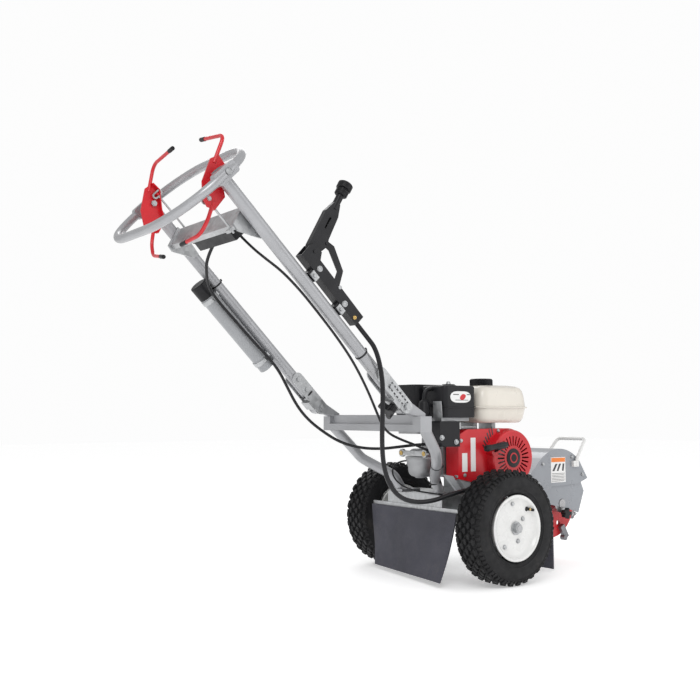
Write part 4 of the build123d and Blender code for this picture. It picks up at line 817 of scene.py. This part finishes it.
# Recoil: dark hub with a plain red ring, and the rim bolts of the cover.
hub = Piece()
hub_at = on_side(CRANK[0], -185.0, CRANK[1])
hub.lathe(hub_at, [(0, -1), (29, -1), (29, 0.8), (27, 1.6), (0, 2.0)], 48)
hub.done("recoil_hub_disc", MATERIALS["black_plastic"], "frame")
ring = Piece()
ring.lathe(hub_at, [(12, 1.2), (16, 1.2), (16, 2.4), (12, 2.4), (12, 1.2)], 40)
ring.done("recoil_hub_ring", MATERIALS["red_plastic"], "frame")
screws = Piece()
for angle in (35, 155, 215, 325):
    a = radians(angle)
    screws.bolt(on_side(CRANK[0] + 79 * cos(a), -160.6, CRANK[1] + 79 * sin(a)), 5.0, 4.0)
for x, z in ((146, 412), (160, 310), (300, 440)):
    screws.bolt(on_side(x, -160.2, z), 4.6, 3.6)
screws.done("shroud_bolts", MATERIALS["zinc"], "frame")

# Starter grip: a waisted handle on a short stem.
grip = Piece()
start, way = Vector((203, -203, 388)), Vector((1, 0, 0.12)).normalized()
grip_at = place(start, (0, 0, 1), way)
grip.lathe(grip_at, [
    (0, 0), (5, 0.4), (8.6, 3), (10.2, 9), (9.6, 20), (8.4, 34), (8.8, 46), (9.8, 58), (10.6, 72),
    (10.2, 84), (8.4, 90.5), (5, 93), (0, 93.4)], 28)
pull = Vector((-0.2, -0.85, 0.49)).normalized()
rope_from = Vector((CRANK[0] - 78, -186, CRANK[1] + 22))
grip.lathe(place(rope_from + pull * 7, (1, 0, 0), pull), [
    (0, 0), (5.6, 0), (6.5, 1.5), (6.0, 7), (7.6, 15), (0, 16)], 24)
piece = grip.done("starter_grip_moulded", MATERIALS["black_plastic"], "starter_grip")
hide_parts("starter_grip")
rope = Piece()
rope.rod([rope_from + pull * along for along in range(-12, 8)], 2.0)
piece = rope.done("starter_rope_braid", MATERIALS["cable_rubber"], None)
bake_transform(piece)
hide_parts("starter_rope")

# Fuel cap: a knurled plastic cap with a raised middle.
cap = Piece()
cap_at = on_floor(289, -100, 573)
KNURLS = 44
skirt = []
for i in range(KNURLS * 2):
    a = 2 * pi * i / (KNURLS * 2)
    r = 36.0 if i % 2 else 33.6
    skirt.append((r * cos(a), r * sin(a)))
cap.prism(cap_at @ Matrix.Translation((0, 0, 0.002)), skirt, 21.5, 0.0)
cap.lathe(cap_at, [
    (0, 23), (33, 23), (34.6, 23.6), (34.4, 25.4), (32, 27.2), (24, 27.6), (22.5, 26.2), (0, 26.0)], 60)
cap.box(cap_at @ Matrix.Translation((0, 0, 0.0268)), (40, 7, 2.2), 0.8)
piece = cap.done("fuel_cap_knurled", MATERIALS["black_plastic"], "fuel_cap")
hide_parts("fuel_cap")

# Air cleaner: lid line, catches, wing nut and the heat plate on its rear face.
LID_LINE = [(-66, -49), (-61, -55), (61, -55), (66, -49), (66, 49), (61, 55), (-61, 55), (-66, 49)]
lid = Piece()
lid.lathe(on_floor(CLEANER_X, CLEANER_Y, 574), [
    (0, 5.4), (10, 5.4), (12, 6.4), (14, 5.2), (20, 4.6), (25, 1.6), (26, 0), (0, 0)], 40)
for z in (506, 512):
    lid.prism(on_floor(CLEANER_X, CLEANER_Y, z), LID_LINE, 2.0, 0.6, 1)
for y in (-150, -82):
    lid.box(on_floor(70.6, y, 512), (4, 16, 26), 1.2)
lid.done("cleaner_lid_trim", MATERIALS["black_plastic"], "frame")
nut = Piece()
nut.lathe(on_floor(CLEANER_X, CLEANER_Y, 580), [(0, 0), (7.5, 0), (7.0, 3), (4.5, 8.5), (0, 9)], 24)
WING = [(4, 2), (13, 5), (16, 12), (11, 14), (4, 8)]
for sign in (1, -1):
    wing_at = place((CLEANER_X, CLEANER_Y, 580), (sign, 0, 0), (0, 1, 0))
    middle_plane = Matrix.Translation((0, 0, -0.0012))
    nut.prism(wing_at @ middle_plane, [(x, sign * y) for x, y in WING], 2.4, 0.5)
nut.done("cleaner_wing_nut", MATERIALS["zinc"], "frame")
plate = Piece()
plate.prism(place((62.5, 0, 0), (0, 1, 0), (1, 0, 0)), [(-172, 480), (-131, 480), (-131, 528), (-168, 528)],
            1.2, 0.4, 1)
plate.done("heat_plate", MATERIALS["zinc"], "frame")
intake_bolts = Piece()
for x, z in ((62, 422), (118, 409)):
    intake_bolts.bolt(on_side(x, -170.1, z), 6.4, 5.0)
intake_bolts.done("intake_bolts", MATERIALS["zinc"], "frame")


# ---- Rear of the engine: head cover, link, shroud feet, breather hose and painted slot shade ---
cover = Piece()
cover.lathe(on_floor(78, -52, 299), [
    (0, 0), (12, 1), (22, 7), (32, 22), (39, 42), (42, 57), (44, 59), (44, 64), (41, 66), (0, 66)], 48)
cover.done("head_cover_cup", MATERIALS["cast_alloy"], "frame")
link = Piece()
link.box(on_floor(31, -76, 375), (4, 96, 15), 1.0)
for y in (-24, -128):
    link.lathe(place((35, y, 375), (0, 1, 0), (-1, 0, 0)), [
        (0, -3), (11.5, -3), (12, -2), (12, 6), (11.2, 7), (0, 7)], 28)
link.done("governor_link", MATERIALS["zinc"], "frame")
bushes = Piece()
for y in (-24, -128):
    bushes.lathe(place((28.5, y, 375), (0, 1, 0), (-1, 0, 0)), [
        (0, 0), (7, 0), (7, 2.0), (5.6, 2.8), (0, 2.0)], 20)
bushes.done("governor_link_bushes", BRASS, "frame")
pads = Piece()
pads.prism(on_side(0, -148, 0), [(84, 314), (117, 309), (153, 265), (134, 262)], 9, 1.0)
pads.prism(on_side(0, -148, 0), [(128, 311), (172, 308), (198, 280), (176, 260)], 9, 1.0)
pads.done("shroud_pads", MATERIALS["grey_plastic"], "frame")
hose = Piece()
hose.lathe(on_floor(45, -112, 470), [
    (0, 0), (14, 0), (16.5, 2), (16.5, 20), (17.5, 22), (17.5, 27), (16.5, 29), (16.5, 52), (14, 58),
    (9, 62), (0, 62)], 32)
hose.rod(smooth_edge([(45, -112, 528), (46, -112, 548), (56, -113, 562), (76, -114, 566)], 20), 6.0)
hose.box(on_floor(66, -112, 516), (18, 22, 9), 1.0)
hose.done("breather_hose", MATERIALS["black_plastic"], "frame")
# The shroud's intake slots are not cut: thin dark boxes lie on its face as painted shade where the openings
# are.
slot_shade = Piece()
for k in range(6):
    angle = radians(128 + k * 6.5)
    at = on_side(CRANK[0] + 106 * cos(angle), -160.4, CRANK[1] + 106 * sin(angle))
    slot_shade.box(at @ Matrix.Rotation(angle - 0.5, 4, "Z"), (26 - 2 * k, 4.2, 1.2), 0.3)
slot_shade.done("shroud_slot_shade", DARK_PRINT_AND_SLOT_SHADE, "frame")

# ---- Tank: two moulded halves with a rounded seam flange ------------------------
def rounded_loft(piece, middle, levels, corner_steps=6):
    """Rounded rectangles of (half length, half width, corner radius, z) joined from bottom to top."""
    rings = []
    for half_x, half_y, corner, z in levels:
        ring = []
        for quarter, (sx, sy) in enumerate(((1, 1), (-1, 1), (-1, -1), (1, -1))):
            for k in range(corner_steps + 1):
                a = pi / 2 * (quarter + k / corner_steps)
                ring.append(piece.mesh.verts.new(metres((
                    middle[0] + sx * (half_x - corner) + corner * cos(a),
                    middle[1] + sy * (half_y - corner) + corner * sin(a), z))))
        rings.append(ring)
    count = len(rings[0])
    faces = [piece.mesh.faces.new(rings[0][::-1]), piece.mesh.faces.new(rings[-1])]
    for near, far in zip(rings, rings[1:]):
        for k in range(count):
            m = (k + 1) % count
            faces.append(piece.mesh.faces.new((near[k], near[m], far[m], far[k])))
    bmesh.ops.recalc_face_normals(piece.mesh, faces=faces)


tank = Piece()
rounded_loft(tank, (319, -82.5), [
    (76, 70, 22, 463.5), (86, 80, 26, 465), (92, 86, 29, 470), (96, 90, 31, 478), (99.5, 93.5, 32, 496),
    (101.5, 95, 32, 506), (102.5, 96, 32, 508), (107, 100.5, 36, 509), (108, 101.5, 37, 511),
    (107, 100.5, 36, 513), (102, 95.5, 32, 514), (100.5, 94.5, 31, 525), (98, 92, 30, 547), (94, 89, 29, 562),
    (88, 84, 27, 571), (77, 73, 22, 576.5), (56, 53, 16, 579.5), (30, 28, 10, 580.5)])
piece = tank.done("tank_shell", MATERIALS["tank_white"], "frame", 30.0)
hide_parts("fuel_tank")

# ---- Front guard: clamp knob on a stud -------------------------------------------
knob = Piece()
knob_at = on_side(703, -66, 158)
star = []
for i in range(40):
    a = 2 * pi * i / 40
    star.append(((15.5 + 4.0 * cos(5 * a)) * cos(a), (15.5 + 4.0 * cos(5 * a)) * sin(a)))
knob.prism(knob_at, star, 14, 1.5, 2)
knob.lathe(knob_at, [(0, -10), (8, -10), (8, 1), (0, 1)], 24)
knob.done("guard_knob", MATERIALS["black_plastic"], "frame")
stud = Piece()
stud.rod([(712, -64, 156), (730, -64, 155), (762, -64, 152.5)], 4.0)
stud.lathe(place((736, -64, 154.6), (0, 1, 0), (1, 0, -0.07)), [(0, 0), (8, 0), (8, 6), (0, 6)], 6)
stud.lathe(place((750, -64, 153.5), (0, 1, 0), (1, 0, -0.07)), [(0, 0), (7, 0), (7, 4), (0, 4)], 24)
stud.done("guard_stud", MATERIALS["zinc"], "frame")

# ---- Handle: canister clamps, switch box plugs and painted slot shade beside the hinge ---
clamps = Piece()
for s in (240, 484):
    clamps.lathe(up_handle(s, -45, TUBE_Y), [
        (23.8, 0), (26.2, 0), (26.6, 1), (26.6, 13), (26.2, 14), (23.8, 14), (23.8, 0)], 40)
    clamps.box(up_handle(s + 7, -21, TUBE_Y), (10, 22, 13), 1.0)
clamps.done("canister_clamps", MATERIALS["zinc"], "handle")
plugs = Piece()
for s, t in ((662, -10), (672, -26)):
    plugs.lathe(beside_handle(s, t, 69), [
        (0, 0), (8.5, 0), (8.5, 6), (7.2, 7), (7.2, 12), (8.0, 13), (8.0, 17), (5.0, 19), (0, 19)], 20)
plugs.done("switch_box_plugs", MATERIALS["black_plastic"], "handle")
# The slots beside the hinge are not cut: thin dark boxes lie on the strips as painted shade.
strip_slot_shade = Piece()
for side, sign in SIDES:
    for k in range(7):
        for t in (8.5, -6.5):
            strip_slot_shade.box(beside_handle(6 + k * 12.5, t, sign * 230.4), (7.0, 4.6, 1.2), 0.3)
strip_slot_shade.done("hinge_strip_slot_shade", DARK_PRINT_AND_SLOT_SHADE, "handle")

# ---- Bolts on the belt guard and on the cutter housing -----------------------------
LEFT_BOLTS = ((345, 415), (300, 330), (420, 330), (520, 300), (520, 235), (640, 135), (740, 140),
              (770, 215), (690, 250))
left_bolts = Piece()
for x, z in LEFT_BOLTS:
    left_bolts.bolt(on_side(x, 134.2, z) @ OVER, 5.6, 4.2)
left_bolts.done("left_side_bolts", MATERIALS["zinc"], "frame")
right_bolts = Piece()
for x, z in ((600, 325), (745, 345), (797, 284), (578, 262)):
    right_bolts.bolt(on_side(x, -65.2, z), 5.2, 4.0)
right_bolts.done("housing_bolts", MATERIALS["zinc"], "frame")


# ---- Floor, backdrop and soft light -----------------------------------------
floor_mesh = bpy.data.meshes.new("floor")
FLOOR = 14.0
floor_mesh.from_pydata([(-FLOOR, -FLOOR, 0), (FLOOR, -FLOOR, 0), (FLOOR, FLOOR, 0), (-FLOOR, FLOOR, 0)], [],
                       [(0, 1, 2, 3)])
floor = bpy.data.objects.new("floor", floor_mesh)
bpy.context.scene.collection.objects.link(floor)
floor_paint = bpy.data.materials.new("floor_white")
floor_paint.use_nodes = True
floor_shader = floor_paint.node_tree.nodes["Principled BSDF"]
floor_shader.inputs["Base Color"].default_value = (0.95, 0.95, 0.95, 1)
floor_shader.inputs["Roughness"].default_value = 0.9
floor_shader.inputs["Emission Color"].default_value = (1, 1, 1, 1)
floor_shader.inputs["Emission Strength"].default_value = 0.36
floor_mesh.materials.append(floor_paint)

world = bpy.data.worlds.new("studio")
world.use_nodes = True
world_nodes, world_links = world.node_tree.nodes, world.node_tree.links
light_sky = world_nodes["Background"]
light_sky.inputs["Color"].default_value = (1, 1, 1, 1)
light_sky.inputs["Strength"].default_value = 0.66
seen_sky = world_nodes.new("ShaderNodeBackground")
seen_sky.inputs["Color"].default_value = (1, 1, 1, 1)
seen_sky.inputs["Strength"].default_value = 0.98
ray_kind = world_nodes.new("ShaderNodeLightPath")
either = world_nodes.new("ShaderNodeMixShader")
world_links.new(ray_kind.outputs["Is Camera Ray"], either.inputs["Fac"])
world_links.new(light_sky.outputs["Background"], either.inputs[1])
world_links.new(seen_sky.outputs["Background"], either.inputs[2])
world_links.new(either.outputs["Shader"], world_nodes["World Output"].inputs["Surface"])
bpy.context.scene.world = world
bpy.context.scene.view_settings.view_transform = "Standard"


def soft_light(name, at, towards, width, watts):
    data = bpy.data.lights.new(name, "AREA")
    data.shape, data.size, data.energy = "DISK", width, watts
    made = bpy.data.objects.new(name, data)
    made.location = at
    made.rotation_euler = (Vector(towards) - Vector(at)).to_track_quat("-Z", "Y").to_euler()
    bpy.context.scene.collection.objects.link(made)


soft_light("key", (-2.5, -3.0, 3.6), (0, 0, 0.5), 2.4, 70)
soft_light("fill", (2.8, -3.2, 2.0), (0.2, 0, 0.4), 3.0, 26)
soft_light("rim", (1.5, 3.2, 3.0), (0, 0, 0.5), 2.4, 36)
